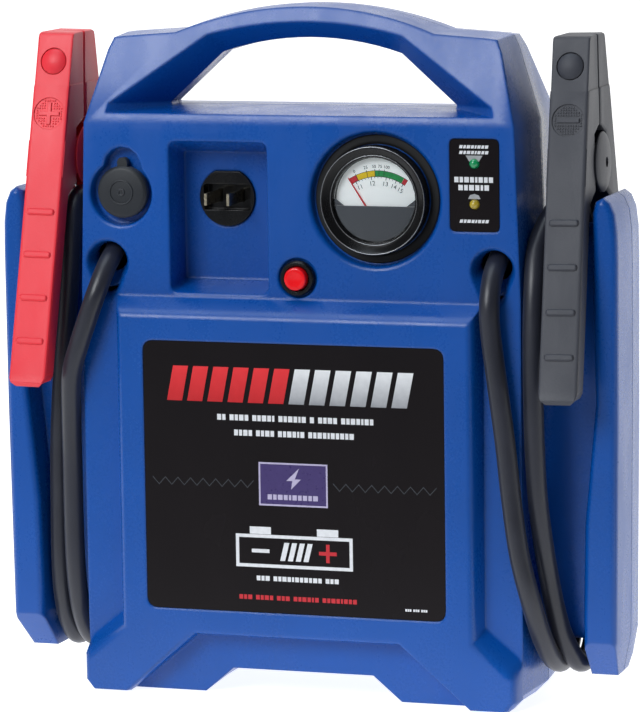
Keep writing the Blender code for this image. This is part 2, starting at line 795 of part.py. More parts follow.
def meter_dial():
    dial = plate("meter_dial", circle(*METER, METER_WINDOW - GAP, 40), FRONT + 3.2, FRONT + 3.9)
    paint(dial, DIAL_WHITE, 0.5)


def meter_cover():
    """Dark lower half that hides the movement."""
    radius = METER_WINDOW - GAP
    outline = [(x, 2 * METER[1] - z) for x, z in half_moon(radius, -METER_SPLIT, 20)]
    cover = plate("meter_cover", outline, FRONT + 0.2, FRONT + 1.6)
    paint(cover, NEAR_BLACK, 0.35)


def meter_needle():
    """A thin pointer whose origin is its pivot; it rests at the left end of the scale."""
    turn = math.radians(NEEDLE_REST)
    along = Vector((-math.sin(turn), math.cos(turn)))
    across = Vector((math.cos(turn), math.sin(turn)))
    base = Vector(NEEDLE_PIVOT)
    tip = base + along * NEEDLE_LENGTH
    tail = base - along * 3.0
    corners = (tail - across * 0.7, tail + across * 0.7, tip + across * 0.22, tip - across * 0.22)
    outline = [tuple(corner) for corner in corners]
    needle = plate("meter_needle", outline, FRONT + 2.2, FRONT + 2.7)
    join(needle, plate("hub", circle(*NEEDLE_PIVOT, 2.0, 12), FRONT + 2.0, FRONT + 2.9))
    set_origin(needle, (NEEDLE_PIVOT[0], FRONT + 2.4, NEEDLE_PIVOT[1]))
    paint(needle, NEEDLE_RED, 0.4)


def meter_lens():
    place = facing_front(METER[0], FRONT, METER[1])
    profile = [(0, 0.0), (METER_WINDOW - GAP, 0.0), (METER_WINDOW - GAP, 0.4), (14, 1.1), (0, 1.4)]
    lens = paint(lathe("meter_lens", profile, 32, place), LENS_CLEAR, 0.05)
    shader = lens.data.materials[0].node_tree.nodes["Principled BSDF"]
    shader.inputs["Transmission Weight"].default_value = 1.0


def set_origin(target, point):
    here = Vector(point) * MM
    target.data.transform(Matrix.Translation(-here))
    target.location = here


def test_button():
    place = facing_front(BUTTON[0], FRONT, BUTTON[1])
    profile = [(0, -7.0), (4.0, -7.0), (4.0, -2.0), (BUTTON_RADIUS, -2.0), (BUTTON_RADIUS, 3.9)]
    profile += [(BUTTON_RADIUS - 0.5, 4.8), (BUTTON_RADIUS - 1.6, 5.2), (3.4, 4.9), (0, 4.7)]
    button = lathe("test_button", profile, 24, place)
    set_origin(button, (BUTTON[0], FRONT, BUTTON[1]))
    paint(button, BUTTON_RED, 0.25)


def button_housing():
    place = facing_front(BUTTON[0], FRONT, BUTTON[1])
    outer = 9.6
    profile = [(7.4, -22), (7.4, -2.3), (outer, -2.3), (outer, 0.9), (outer - 0.8, 1.9)]
    profile += [(BUTTON_RADIUS + 1.0, 1.9), (BUTTON_RADIUS + GAP, 1.2), (BUTTON_RADIUS + GAP, -6.0)]
    profile += [(4.6, -6.0), (4.6, -19), (3.0, -19), (3.0, -22)]
    paint(lathe("button_housing", profile, 20, place), NEAR_BLACK, 0.3)


def inlet_outline(radius):
    """A disc with a flat at the top."""
    level = radius - 1.6
    start = math.asin(level / radius)
    sweep = 2 * math.pi - (math.pi - 2 * start)
    steps = 34
    turns = [math.pi - start + sweep * i / steps for i in range(steps + 1)]
    return [(INLET[0] + radius * math.cos(turn), INLET[1] + radius * math.sin(turn)) for turn in turns]


def charge_inlet():
    """Round plug body with a wide slot across it."""
    floor = FRONT + CHARGE_DEPTH
    body = plate("charge_inlet", inlet_outline(INLET_RADIUS), floor - 1.6, PARTING - 1.5)
    flange = plate("flange", inlet_outline(INLET_RADIUS + 2.2), floor + 2.5 + GAP, floor + 5.0)
    join(body, flange)
    slot = [(-13.4, -7.0), (13.4, -7.0), (13.4, 7.2), (-13.4, 7.2)]
    slot = soften([(INLET[0] + x, INLET[1] + z) for x, z in slot], 1.5)
    cut(body, plate("slot", slot, floor - 3, floor + 6.0))
    for side in (-1, 1):
        cut(body, box("blade hole", *blade_box(side, GAP, 0)))
    paint(body, NEAR_BLACK, 0.5)


def blade_box(side, spare, long):
    x = INLET[0] + 0.5 * side * BLADE_PITCH
    z = INLET[1] + 0.4
    low = (x - 0.75 - spare, FRONT + 4.0 - long, z - 3.2 - spare)
    high = (x + 0.75 + spare, PARTING + 1 + long, z + 3.2 + spare)
    return low, high


def charge_blades():
    for side, name in ((-1, "charge_blade_left"), (1, "charge_blade_right")):
        paint(box(name, *blade_box(side, 0, 0)), NICKEL, 0.25, 1.0)


def outlet_socket():
    place = facing_front(CAP[0], FRONT, CAP[1])
    profile = [(10.6, -6.0), (10.6, -34), (3.2, -34), (3.2, -36), (12.1, -36), (12.1, -6.6), (11.6, -6.0)]
    paint(lathe("outlet_socket", profile, 18, place), STEEL, 0.3, 1.0)


def outlet_contact():
    place = facing_front(CAP[0], FRONT, CAP[1])
    profile = [(0, -42), (2.8, -42), (2.8, -32), (2.2, -30.5), (0, -30)]
    paint(lathe("outlet_contact", profile, 14, place), BRASS, 0.3, 1.0)


def outlet_cap():
    """Rubber cover that swings up about its tab; its origin is on the hinge line."""
    place = facing_front(CAP[0], FRONT, CAP[1])
    profile = [(0, -5.4), (CAP_RADIUS - 0.4, -5.4), (CAP_RADIUS, -4.8), (CAP_RADIUS, -1.2)]
    profile += [(CAP_RADIUS - 0.9, -0.1), (CAP_RADIUS - 2.2, 0.3), (6.0, 0.9), (0, 1.1)]
    cap = lathe("outlet_cap", profile, 30, place)
    tab = soften([(-2.6, 12.5), (2.6, 12.5), (3.0, 16.4), (1.8, 18.6), (-1.8, 18.6), (-3.0, 16.4)], 1.0)
    join(cap, plate("tab", [(CAP[0] + x, CAP[1] + z) for x, z in tab], FRONT + 1.4, FRONT + 5.4))
    set_origin(cap, (CAP[0], FRONT + 3.4, CAP_HINGE_Z))
    paint(cap, RUBBER_GREY, 0.6)


# ---------------------------------------------------------------- inside the case


def battery():
    x0, x1, y0, y1, z0, z1 = BATTERY
    body = box("battery", (x0, y0, z0), (x1, y1, z1))
    round_edges(body, 1.5, 1, 30)
    for x in (-TERMINAL_X, TERMINAL_X):
        cut(body, box("terminal well", (x - 10, -14, z1 - 8), (x + 10, 14, z1 + 5)))
    paint(body, BATTERY_GREY, 0.55)


def battery_terminals():
    for side, name in ((-1, "battery_terminal_positive"), (1, "battery_terminal_negative")):
        low = (side * TERMINAL_X - 8, -6, BATTERY[5] - 8 + GAP)
        high = (side * TERMINAL_X + 8, 6, TERMINAL_TOP)
        place = Matrix.Translation((side * TERMINAL_X, 0, TERMINAL_TOP))
        terminal = cut(box(name, low, high), cylinder("hole", BOLT_HOLE, -20, 20, 12, place))
        paint(terminal, LEAD_ALLOY, 0.45, 1.0)


def terminal_bolts():
    for side, name in ((-1, "terminal_bolt_positive"), (1, "terminal_bolt_negative")):
        place = Matrix.Translation((side * TERMINAL_X, 0, TERMINAL_TOP + 3.0 + 2 * GAP))
        profile = [(0, -9.0), (3.0, -9.0), (3.0, 0), (5.8, 0), (5.8, 4.0), (0, 4.0)]
        paint(lathe(name, profile, 6, place), STEEL, 0.35, 1.0)


def lead_bars():
    """Copper bars from the battery terminals up to the inner ends of the booster leads."""
    for side, name in ((-1, "lead_bar_positive"), (1, "lead_bar_negative")):
        z = TERMINAL_TOP + GAP
        reach = sorted((side * (TERMINAL_X - 8), side * (BAR_X + 4)))
        flat = box(name, (reach[0], -BAR_HALF_DEPTH, z), (reach[1], BAR_HALF_DEPTH, z + 3))
        reach = sorted((side * (BAR_X - 2), side * (BAR_X + 1)))
        join(flat, box("post", (reach[0], -BAR_HALF_DEPTH, z + 1), (reach[1], BAR_HALF_DEPTH, 250)))
        socket = facing_front(side * BAR_X, PARTING, LEAD_START)
        join(flat, cylinder("ferrule", 6.4, -1, 9.5, 12, socket))
        cut(flat, cylinder("hole", BOLT_HOLE, -10, 10, 12, Matrix.Translation((side * TERMINAL_X, 0, z))))
        paint(flat, COPPER, 0.35, 1.0)


def charger_board():
    paint(box("charger_board", (-46, 30.0, 205), (60, 31.6, 292)), BOARD_GREEN, 0.5)


def charger_transformer():
    body = box("charger_transformer", (-30, 8, 212), (14, 29.7, 250))
    round_edges(body, 2.0, 1, 30)
    paint(body, WINDING_BROWN, 0.6)


def circuit_breaker():
    body = box("circuit_breaker", (28, 12, 214), (52, 29.7, 232))
    round_edges(body, 1.0, 1, 30)
    paint(body, CLAMP_BLACK, 0.5)


# ---------------------------------------------------------------- booster clamps


def out_line(z):
    return CLAMP_OUT - CLAMP_LEAN * z


def half_profile(step):
    """Side view of a clamp half: the jaw near the mid-plane, the grip leaning away from it."""
    handle = [(out_line(-21) - HANDLE_DEEP, -21), (out_line(CLAMP_END + 3) - HANDLE_DEEP, CLAMP_END + 3)]
    end = [(out_line(CLAMP_END) - 9.0, CLAMP_END), (out_line(CLAMP_END) - 3.0, CLAMP_END + 0.6)]
    end += [(out_line(CLAMP_END) - 0.4, CLAMP_END + 4.0)]
    outside = [(out_line(CLAMP_END + 9), CLAMP_END + 9), (out_line(39), 39)]
    jaw = [(out_line(39) - step, 39.5), (out_line(CLAMP_TIP - 3) - step, CLAMP_TIP - 3)]
    jaw += [(out_line(CLAMP_TIP - 1) - step - 0.7, CLAMP_TIP - 0.8)]
    jaw += [(out_line(CLAMP_TIP) - step - 2.6, CLAMP_TIP)]
    inside = [(0.9, CLAMP_TIP), (0.9, 20), (12.4, 15), (12.4, -15)]
    return handle + end + outside + jaw + inside


def across(profile, half, edge):
    """A body of a side profile between two sides, with its edges rounded."""
    steps = [(half, edge), (half - 0.3 * edge, 0.3 * edge), (half - edge, 0.0)]
    rings = [ring_yz(grow(profile, -inset), -x) for x, inset in steps]
    rings += [ring_yz(grow(profile, -inset), x) for x, inset in steps[::-1]]
    return loft("half", rings)


def ear_profile():
    """Side view of an ear: round about the pin, running out into the grip's outer wall."""
    angles = [math.radians(75 + 15 * i) for i in range(15)]
    nose = [(EAR_RADIUS * math.cos(a), EAR_RADIUS * math.sin(a)) for a in angles]
    reach = 1.0
    return nose + [(out_line(-9.6) - reach, -9.6), (out_line(9.6) - reach, 9.6)]


def clamp_half(name, ear_out, plus):
    """One half about the pin: +Y outwards, +Z towards the jaws; ear_out puts its ears outside the other's."""
    profile = half_profile(0.6)
    body = across(profile, CLAMP_HALF_WIDTH, 1.8)
    wide = CLAMP_HALF_WIDTH + 1
    for side in (-1, 1):
        low = (min(side * (CLAMP_HALF_WIDTH - 0.6), side * wide), -5, 39.5)
        high = (max(side * (CLAMP_HALF_WIDTH - 0.6), side * wide), 40, 80)
        cut(body, box("jaw side", low, high))
    inner = CLAMP_HALF_WIDTH - CLAMP_WALL
    channel = [(out_line(-16) - CLAMP_WALL, -16), (out_line(16) - CLAMP_WALL, 16), (-4, 16)]
    channel += [(-4, -16), (out_line(-22) - 30, -22), (out_line(CLAMP_END) - 30, CLAMP_END - 8)]
    channel += [(out_line(CLAMP_END - 8) - CLAMP_WALL, CLAMP_END - 8)]
    cut(body, loft("channel", [ring_yz(channel, -inner), ring_yz(channel, inner)]))
    seat = [(-4, 22), (9.6, 22), (8.0, CLAMP_TIP - 2.4), (-4, CLAMP_TIP - 2.4)]
    cut(body, loft("seat", [ring_yz(seat, -7.4), ring_yz(seat, 7.4)]))
    low, high = (inner, CLAMP_HALF_WIDTH) if ear_out else (inner - 2.5, inner - GAP)
    for side in (-1, 1):
        join(body, loft("ear", [ring_yz(ear_profile(), side * low), ring_yz(ear_profile(), side * high)]))
        if ear_out:
            join(body, pivot_boss(side))
    cut(body, cylinder("pin hole", PIN_RADIUS + GAP, -20, 20, 14, along_x(0, 0, 0)))
    for side in (-1, 1):
        cut(body, end_corner(side))
    add_ribs(body)
    add_sign(body, plus)
    cut(body, rivet_cutter())
    body.name = name
    return body


def end_corner(side):
    """A cutter that rounds one corner of the grip's free end, as seen from in front."""
    steps = 5
    centre_x = CLAMP_HALF_WIDTH - GRIP_CORNER
    centre_z = CLAMP_END + GRIP_CORNER
    beyond = CLAMP_HALF_WIDTH + 1
    outline = [(beyond, centre_z), (beyond, CLAMP_END - 1), (centre_x, CLAMP_END - 1)]
    for i in range(steps + 1):
        turn = math.radians(90 * (1 - i / steps))
        outline.append((centre_x + GRIP_CORNER * math.cos(turn), centre_z - GRIP_CORNER * math.sin(turn)))
    return plate("end corner", [(side * x, z) for x, z in outline], 20, 90)


def pivot_boss(side):
    """The large domed disc over the pivot, standing clear of the other half's side."""
    face = CLAMP_HALF_WIDTH + GAP
    profile = [(0, face - 1.5), (9.0, face - 1.5), (9.0, face), (BOSS_RADIUS, face)]
    profile += [(BOSS_RADIUS, face + 0.7), (BOSS_RADIUS - 1.0, face + 1.4)]
    profile += [(11.5, face + 2.1), (6.0, face + 2.7), (0, face + 2.8)]
    place = Matrix.Rotation(math.radians(90 * side), 4, "Y")
    return lathe("boss", profile, 26, place)


def on_face(z):
    """A frame on a half's outer face: local Z points out of the face, local Y up along it."""
    lean = math.atan(CLAMP_LEAN)
    turn = Matrix.Rotation(math.radians(-90) + lean, 4, "X")
    return Matrix.Translation((0, out_line(z), z)) @ turn @ Matrix.Rotation(math.radians(180), 4, "Z")


def bar(name, half_x, half_y, low, high, place, chamfer):
    wide = soften([(-half_x, -half_y), (half_x, -half_y), (half_x, half_y), (-half_x, half_y)], half_y, 2)
    top = grow(wide, -chamfer)
    rings = [
        [tuple(place @ Vector((x, y, low))) for x, y in wide],
        [tuple(place @ Vector((x, y, high - chamfer))) for x, y in wide],
        [tuple(place @ Vector((x, y, high))) for x, y in top],
    ]
    return loft(name, rings)


def add_ribs(body):
    for z in RIB_HEIGHTS:
        join(body, bar("rib", 8.0, 1.8, -1.0, 1.1, on_face(z), 0.7))


def add_sign(body, plus):
    """A raised plus or minus in a shallow round recess."""
    place = on_face(SIGN_Z)
    cut(body, cylinder("disc", 8.8, -0.6, 3, 24, place))
    long = 6.0
    wide = 1.1
    outline = [(-long, -wide), (long, -wide), (long, wide), (-long, wide)]
    if plus:
        outline = [(-long, -wide), (-wide, -wide), (-wide, -long)]
        outline += [(wide, -long), (wide, -wide), (long, -wide)]
        outline += [(-x, -z) for x, z in outline]
    rings = [[tuple(place @ Vector((x, y, level))) for x, y in outline] for level in (-1.2, 0.2)]
    join(body, loft("sign", rings))


def rivet_cutter():
    return cylinder("rivet seat", 7.5, -2.2, 4, 20, on_face(RIVET_Z))


def rivet(name, place):
    profile = [(0, -1.9), (7.1, -1.9), (7.1, -0.7), (6.3, 0.1), (4.6, 0.8), (2.4, 1.3), (0, 1.4)]
    item = lathe(name, profile, 16, Matrix.Identity(4))
    return move(item, place @ on_face(RIVET_Z))


def jaw_contact(name, place):
    """Toothed copper jaw plate; its teeth stop just short of the other jaw."""
    teeth = []
    for i in range(11):
        z = 25.0 + 3.6 * i
        teeth += [(0.4, z), (2.2, z + 1.8)]
    outline = [(9.2, 22.4), (7.8, CLAMP_TIP - 2.8), (2.2, CLAMP_TIP - 2.8), *teeth[::-1], (2.2, 22.4)]
    item = loft(name, [ring_yz(outline, -7.0), ring_yz(outline, 7.0)])
    return move(item, place)


def pivot_pin(name, place):
    end = CLAMP_HALF_WIDTH + 1.4
    profile = [(0, -end), (PIN_RADIUS - 0.6, -end), (PIN_RADIUS, -end + 0.6)]
    profile += [(PIN_RADIUS, end - 0.6), (PIN_RADIUS - 0.6, end), (0, end)]
    return move(lathe(name, profile, 14, along_x(0, 0, 0)), place)


def pivot_spring(name, place):
    """Torsion spring round the pin; its legs press both grips apart."""
    radius = 4.6
    turns = 3
    steps = 8
    points = []
    leg = Vector((-4.4, out_line(-34) - CLAMP_WALL - 1.6, -34))
    points.append(leg)
    points.append(leg.lerp(Vector((-4.4, radius, -2)), 0.75))
    for i in range(turns * steps + 1):
        turn = 2 * math.pi * i / steps
        x = -4.4 + 8.8 * i / (turns * steps)
        points.append(Vector((x, radius * math.cos(turn), radius * math.sin(turn))))
    other = Vector((4.4, -out_line(-34) + CLAMP_WALL + 1.6, -34))
    last = points.pop()
    points.append(Vector((4.4, last.y * 0.2, -radius)))
    points.append(Vector((4.4, -radius, -2)).lerp(other, 0.25))
    points.append(other)
    world = [place @ p for p in points]
    return wire(name, world, 0.8, 1)


def clamp(prefix, side, colour, plus):
    tilt = Matrix.Rotation(math.radians(-side * CLAMP_TILT), 4, "Y")
    rear = Matrix.Translation((side * CLAMP_X, CLAMP_Y, CLAMP_Z)) @ tilt
    front = rear @ Matrix.Rotation(math.radians(180), 4, "Z")
    pin = Vector((side * CLAMP_X, CLAMP_Y, CLAMP_Z))
    for part, place, ear_out in (("front_grip", front, True), ("rear_grip", rear, False)):
        body = move(clamp_half(f"{prefix}_{part}", ear_out, plus), place)
        set_origin(body, pin)
        paint(body, colour, 0.42)
    for part, place in (("front_jaw_plate", front), ("rear_jaw_plate", rear)):
        paint(jaw_contact(f"{prefix}_{part}", place), COPPER, 0.4, 1.0)
    for part, place in (("front_rivet", front), ("rear_rivet", rear)):
        paint(rivet(f"{prefix}_{part}", place), colour, 0.38)
    paint(pivot_pin(f"{prefix}_pivot_pin", rear), STEEL, 0.3, 1.0)
    spring = pivot_spring(f"{prefix}_spring", rear)
    paint(spring, STEEL, 0.35, 1.0)


# ---------------------------------------------------------------- booster leads


def lead_end(side):
    """The last stretch, up behind the web and into the open end of the rear grip."""
    outside = [(side * 147.4, 17.6, 38), (side * 147.8, 21, 60), (side * 148, 26, 86)]
    outside += [(side * 148.2, 35.5, 115), (side * 148.5, 44.2, 142)]
    inside = []
    for z in (-119, -92, -64, -42):
        x = CLAMP_X - z * math.sin(math.radians(CLAMP_TILT))
        inside.append((side * x, CLAMP_Y + out_line(z) - 9.0, CLAMP_Z + z))
    return outside + inside


def leads():
    red = wire("red_lead", catmull(RED_ROUTE + lead_end(-1), LEAD_SPACING), LEAD_RADIUS, 2)
    paint(red, LEAD_BLACK, 0.55)
    black = wire("black_lead", catmull(BLACK_ROUTE + lead_end(1), LEAD_SPACING), LEAD_RADIUS, 2)
    paint(black, LEAD_BLACK, 0.55)


def centre_depth():
    """Moves everything so that the parting plane, midway between the clamps' faces, lies at Y = 0."""
    for item in bpy.data.objects:
        item.location.y -= PARTING * MM


def main():
    clear_scene()
    case = whole_case()
    front_shell(case)
    rear_shell(case)
    bpy.data.objects.remove(case)
    case_screws()
    front_label()
    rear_label()
    status_label()
    status_lamp("green_lamp", LAMPS[0], LAMP_GREEN)
    status_lamp("amber_lamp", LAMPS[1], LAMP_AMBER)
    lamp_board()
    meter_housing()
    meter_dial()
    meter_cover()
    meter_needle()
    meter_lens()
    test_button()
    button_housing()
    charge_inlet()
    charge_blades()
    outlet_socket()
    outlet_contact()
    outlet_cap()
    battery()
    battery_terminals()
    terminal_bolts()
    lead_bars()
    charger_board()
    charger_transformer()
    circuit_breaker()
    clamp("red", -1, CLAMP_RED, True)
    clamp("black", 1, CLAMP_BLACK, False)
    leads()
    centre_depth()


main()
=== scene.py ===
"""The looks of the jump starter pack: camera, leads, printed graphics, materials, lights and floor."""

import math

import bmesh
import bpy
from mathutils import Matrix, Vector


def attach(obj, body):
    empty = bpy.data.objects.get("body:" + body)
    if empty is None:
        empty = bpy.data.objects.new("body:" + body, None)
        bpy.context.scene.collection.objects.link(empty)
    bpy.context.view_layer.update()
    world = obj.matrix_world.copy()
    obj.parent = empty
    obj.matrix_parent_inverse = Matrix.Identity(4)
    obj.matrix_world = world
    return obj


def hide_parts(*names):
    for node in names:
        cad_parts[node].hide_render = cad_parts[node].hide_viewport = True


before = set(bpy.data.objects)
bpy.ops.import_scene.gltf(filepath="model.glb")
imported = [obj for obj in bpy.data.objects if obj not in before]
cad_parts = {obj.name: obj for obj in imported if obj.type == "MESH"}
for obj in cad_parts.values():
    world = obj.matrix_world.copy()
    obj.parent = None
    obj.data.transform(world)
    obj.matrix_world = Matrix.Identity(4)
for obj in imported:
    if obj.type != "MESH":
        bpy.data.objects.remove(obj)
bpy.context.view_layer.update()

MM = 0.001

# Camera
AZIMUTH = math.radians(17.75)
ELEVATION = math.radians(8.296)
ROLL = math.radians(-0.791)
DISTANCE = 2.2425
TARGET = Vector((-0.0029, 0.005, 0.18017))
SENSOR = 36.0
LENS = 206.8
FARTHEST_SEEN = 30

# Booster leads: the points of each route from inside the case to inside the clamp's rear grip
LEAD_DIAMETER = 0.011
RED_ROUTE = [
    (-0.1083, -0.0150, 0.2465), (-0.1083, -0.0250, 0.2426), (-0.1084, -0.0335, 0.2384),
    (-0.1094, -0.0425, 0.2315), (-0.1124, -0.0490, 0.2195), (-0.1175, -0.0504, 0.2050),
    (-0.1230, -0.0502, 0.1900), (-0.1284, -0.0478, 0.1740), (-0.1314, -0.0418, 0.1500),
    (-0.1330, -0.0375, 0.1250), (-0.1336, -0.0360, 0.0950), (-0.1334, -0.0350, 0.0650),
    (-0.1327, -0.0310, 0.0420), (-0.1324, -0.0200, 0.0255), (-0.1324, -0.0030, 0.0188),
    (-0.1326, 0.0130, 0.0230), (-0.1330, 0.0223, 0.0380), (-0.1335, 0.0235, 0.0600),
    (-0.1340, 0.0235, 0.1200), (-0.1340, 0.0233, 0.2000), (-0.1340, 0.0228, 0.2380),
    (-0.1348, 0.0202, 0.2538), (-0.1360, 0.0115, 0.2646), (-0.1373, 0.0000, 0.2678),
    (-0.1376, -0.0124, 0.2640), (-0.1370, -0.0203, 0.2526), (-0.1372, -0.0215, 0.2400),
    (-0.1400, -0.0215, 0.2080), (-0.1432, -0.0216, 0.1780), (-0.1458, -0.0225, 0.1350),
    (-0.1462, -0.0235, 0.1000), (-0.1462, -0.0240, 0.0620), (-0.1456, -0.0210, 0.0390),
    (-0.1450, -0.0100, 0.0225), (-0.1452, 0.0050, 0.0188), (-0.1462, 0.0170, 0.0255),
    (-0.1474, 0.0226, 0.0380), (-0.1478, 0.0260, 0.0600), (-0.1480, 0.0310, 0.0860),
    (-0.1482, 0.0405, 0.1150), (-0.1485, 0.0492, 0.1420), (-0.1487, 0.0549, 0.1710),
    (-0.1482, 0.0481, 0.1980), (-0.1477, 0.0411, 0.2260), (-0.1473, 0.0356, 0.2480),
]
BLACK_ROUTE = [
    (0.1083, -0.0150, 0.2465), (0.1083, -0.0250, 0.2426), (0.1083, -0.0335, 0.2384),
    (0.1082, -0.0428, 0.2310), (0.1083, -0.0488, 0.2190), (0.1089, -0.0496, 0.2050),
    (0.1120, -0.0496, 0.1800), (0.1165, -0.0494, 0.1450), (0.1197, -0.0494, 0.1150),
    (0.1238, -0.0492, 0.0850), (0.1292, -0.0465, 0.0600), (0.1328, -0.0385, 0.0400),
    (0.1346, -0.0240, 0.0255), (0.1352, -0.0050, 0.0188), (0.1352, 0.0120, 0.0226),
    (0.1350, 0.0220, 0.0370), (0.1348, 0.0235, 0.0600), (0.1340, 0.0235, 0.1200),
    (0.1336, 0.0233, 0.2000), (0.1334, 0.0228, 0.2380), (0.1340, 0.0196, 0.2538),
    (0.1356, 0.0115, 0.2646), (0.1356, 0.0000, 0.2678), (0.1340, -0.0116, 0.2644),
    (0.1307, -0.0210, 0.2555), (0.1290, -0.0300, 0.2445), (0.1298, -0.0375, 0.2300),
    (0.1300, -0.0415, 0.2100), (0.1302, -0.0430, 0.1800), (0.1308, -0.0422, 0.1400),
    (0.1320, -0.0390, 0.1080), (0.1354, -0.0315, 0.0700), (0.1400, -0.0255, 0.0420),
    (0.1445, -0.0150, 0.0245), (0.1466, -0.0020, 0.0188), (0.1472, 0.0130, 0.0230),
    (0.1474, 0.0226, 0.0380), (0.1478, 0.0260, 0.0600), (0.1480, 0.0310, 0.0860),
    (0.1482, 0.0405, 0.1150), (0.1485, 0.0492, 0.1420), (0.1487, 0.0549, 0.1710),
    (0.1482, 0.0481, 0.1980), (0.1477, 0.0411, 0.2260), (0.1473, 0.0356, 0.2480),
]
LEAD_STEPS = 8
LEAD_ROUNDNESS = 6

# Printed graphics, in millimetres: X and Z on the face they are printed on, and that face's Y
INK = 0.12
OVERPRINT = 0.06
LABEL_Y = -54.3
STATUS_Y = -42.3
DIAL_Y = -38.8
DIAL_PIVOT = (44.8, 258.0)
SCALE_INNER = 26.3
SCALE_OUTER = 29.3
WINDOW = (43.8, 272.0, 22.4)
LAMPS_X = 98.8
REAR_Y = 49.8
COVER_Y = -41.7
CAP = (-99.3, 273.5)
CAP_EMBLEM_Y = -43.0

# Blocks that stand for words: their relative widths, and those of the gaps after a block and a word
BLOCK_WIDTHS = (1.0, 0.8, 1.1, 0.9, 0.55, 1.0, 0.85)
BLOCK_GAP = 0.28
WORD_GAP = 0.75

# Rows of such blocks: left, right, level of the middle, height, and the blocks in each word
LABEL_ROWS_WHITE = (
    (-42.5, 46.0, 154.4, 3.2, (2, 4, 5, 6, 1, 4, 7)),
    (-33.0, 35.0, 146.2, 3.2, (4, 4, 6, 10)),
    (-21.5, 25.5, 67.0, 2.6, (3, 11, 3)),
    (62.0, 74.5, 53.4, 1.3, (3, 3, 3)),
)
LABEL_ROWS_RED = ((-31.5, 35.5, 56.4, 2.5, (3, 4, 3, 6, 8)),)
REAR_WORDS = ((5, 3, 6, 4, 7), (4, 7, 3, 6, 5), (6, 5, 7, 3, 4))
REAR_ROWS = 7
REAR_ROW_TOP = 148.0
REAR_ROW_PITCH = 9.4

# Dial: the coloured bands, and the ticks as inner radius, outer radius, width and places in degrees
SCALE_BANDS = (
    ("scale_red", (216, 40, 54), ((-33.0, -24.4), (29.7, 34.4))),
    ("scale_yellow", (252, 214, 20), ((-24.2, -3.3),)),
    ("scale_green", (20, 158, 80), ((-3.1, 29.5),)),
)
SCALE_TICKS = (
    (24.6, 26.6, 0.34, (-27.8, -8.0, 10.2, 22.8, 31.9)),
    (25.3, 26.4, 0.2, (-24, -20, -16, -12, -4, 0, 4, 14.4, 18.6, 27.4)),
    (26.2, 30.2, 0.3, (-24.4, -12.2, -3.2, 1.4, 7.0)),
)
SCALE_ENDS = (-33.2, 34.6)
RIM_WIDTH = 0.22
BAND_STEP = 1.6

# Dial numbers: size, radius, and each number's place in degrees; they lean less than the scale turns
DIAL_NUMBERS = (
    (3.4, 22.6, (("11", -26.0), ("12", -8.0), ("13", 10.2), ("14", 22.4), ("15", 32.6))),
    (2.4, 31.6, (("0", -24.6), ("25", -12.4), ("50", -3.9), ("75", 2.2), ("100", 8.8))),
)
NUMBER_LEAN = 0.8

# Clamp faces, in millimetres
PIVOT_X = 146.5
PIVOT_Z = 290.0
GRIP_OUT = 34.0
GRIP_LEAN = 0.2516
GRIP_TILT = 1.04
SIGN_Z = 24.4
HATCH = 1.4
HATCH_FIELD = 8.3
HATCH_ROUND = 7.9
HATCH_SQUARE = ((0.46, -0.65), (0.34, -0.25))
SIGN_HALF_WIDTH = 1.9
SIGN_HALF_LENGTH = 6.8

# Room, in metres: a floor, a sweep that starts behind the object, and a wall above it
FLOOR_FRONT = -6.0
FLOOR_HALF_WIDTH = 8.0
FLOOR_DROP = 0.0002
SWEEP_START = 2.2
SWEEP_RADIUS = 1.6
SWEEP_STEPS = 16
WALL_TOP = 6.0
# The floor is painted darker in front of the object, a painted shade, and glows near and behind it, a
# painted light: the next lines give that shade colour, the pale tones, where the shade gives way to them,
# and the glow's strength and where it rises
FLOOR_PAINTED_SHADE = (0.36, 0.37, 0.39, 1)
FLOOR_PALE = ((0.60, 0.60, 0.60, 1), (0.64, 0.64, 0.64, 1))
PAINTED_SHADE_TO_PALE = (-1.6, -0.2)
FLOOR_PAINTED_GLOW = 0.9
PAINTED_GLOW_RISE = (-0.42, -0.11)

# Lights: azimuth and elevation in degrees, distance in metres, power in watts, size in metres, and tint
LIGHTS = {
    "key": (-22, 35, 2.6, 38, 1.15, (0.94, 0.97, 1.0)),
    "side": (-58, 12, 2.6, 2, 1.3, (1, 1, 1)),
    "top": (-40, 76, 2.2, 13, 1.2, (0.80, 0.90, 1.0)),
    "back": (150, 50, 2.6, 3, 1.4, (1, 1, 1)),
}
LIGHTS_AIM = (0, 0, 0.22)
ROOM_LIGHT = 0.1


def outward(azimuth, elevation):
    """The direction to a place round the object: azimuth 0 is in front, and positive to the right."""
    level = math.cos(elevation)
    return Vector((math.sin(azimuth) * level, -math.cos(azimuth) * level, math.sin(elevation)))


def camera():
    across = Vector((math.cos(AZIMUTH), math.sin(AZIMUTH), 0))
    back = outward(AZIMUTH, ELEVATION)
    above = back.cross(across)
    side = math.cos(ROLL) * across + math.sin(ROLL) * above
    top = math.cos(ROLL) * above - math.sin(ROLL) * across
    place = TARGET + back * DISTANCE
    data = bpy.data.cameras.new("camera")
    data.sensor_width = SENSOR
    data.lens = LENS
    data.clip_end = FARTHEST_SEEN
    view = bpy.data.objects.new("camera", data)
    view.matrix_world = Matrix(
        (
            (side.x, top.x, back.x, place.x),
            (side.y, top.y, back.y, place.y),
            (side.z, top.z, back.z, place.z),
            (0, 0, 0, 1),
        )
    )
    bpy.context.scene.collection.objects.link(view)
    bpy.context.scene.camera = view


def smooth_route(route):
    """A smooth curve through the route's points, as many close points."""
    route = [Vector(point) for point in route]
    ends = [route[0] * 2 - route[1]] + route + [route[-1] * 2 - route[-2]]
    fine = []
    for a, b, c, d in zip(ends, ends[1:], ends[2:], ends[3:]):
        for k in range(LEAD_STEPS):
            t = k / LEAD_STEPS
            bend = 2 * a - 5 * b + 4 * c - d
            twist = 3 * b - 3 * c + d - a
            fine.append((2 * b + (c - a) * t + bend * t**2 + twist * t**3) * 0.5)
    return fine + [route[-1]]


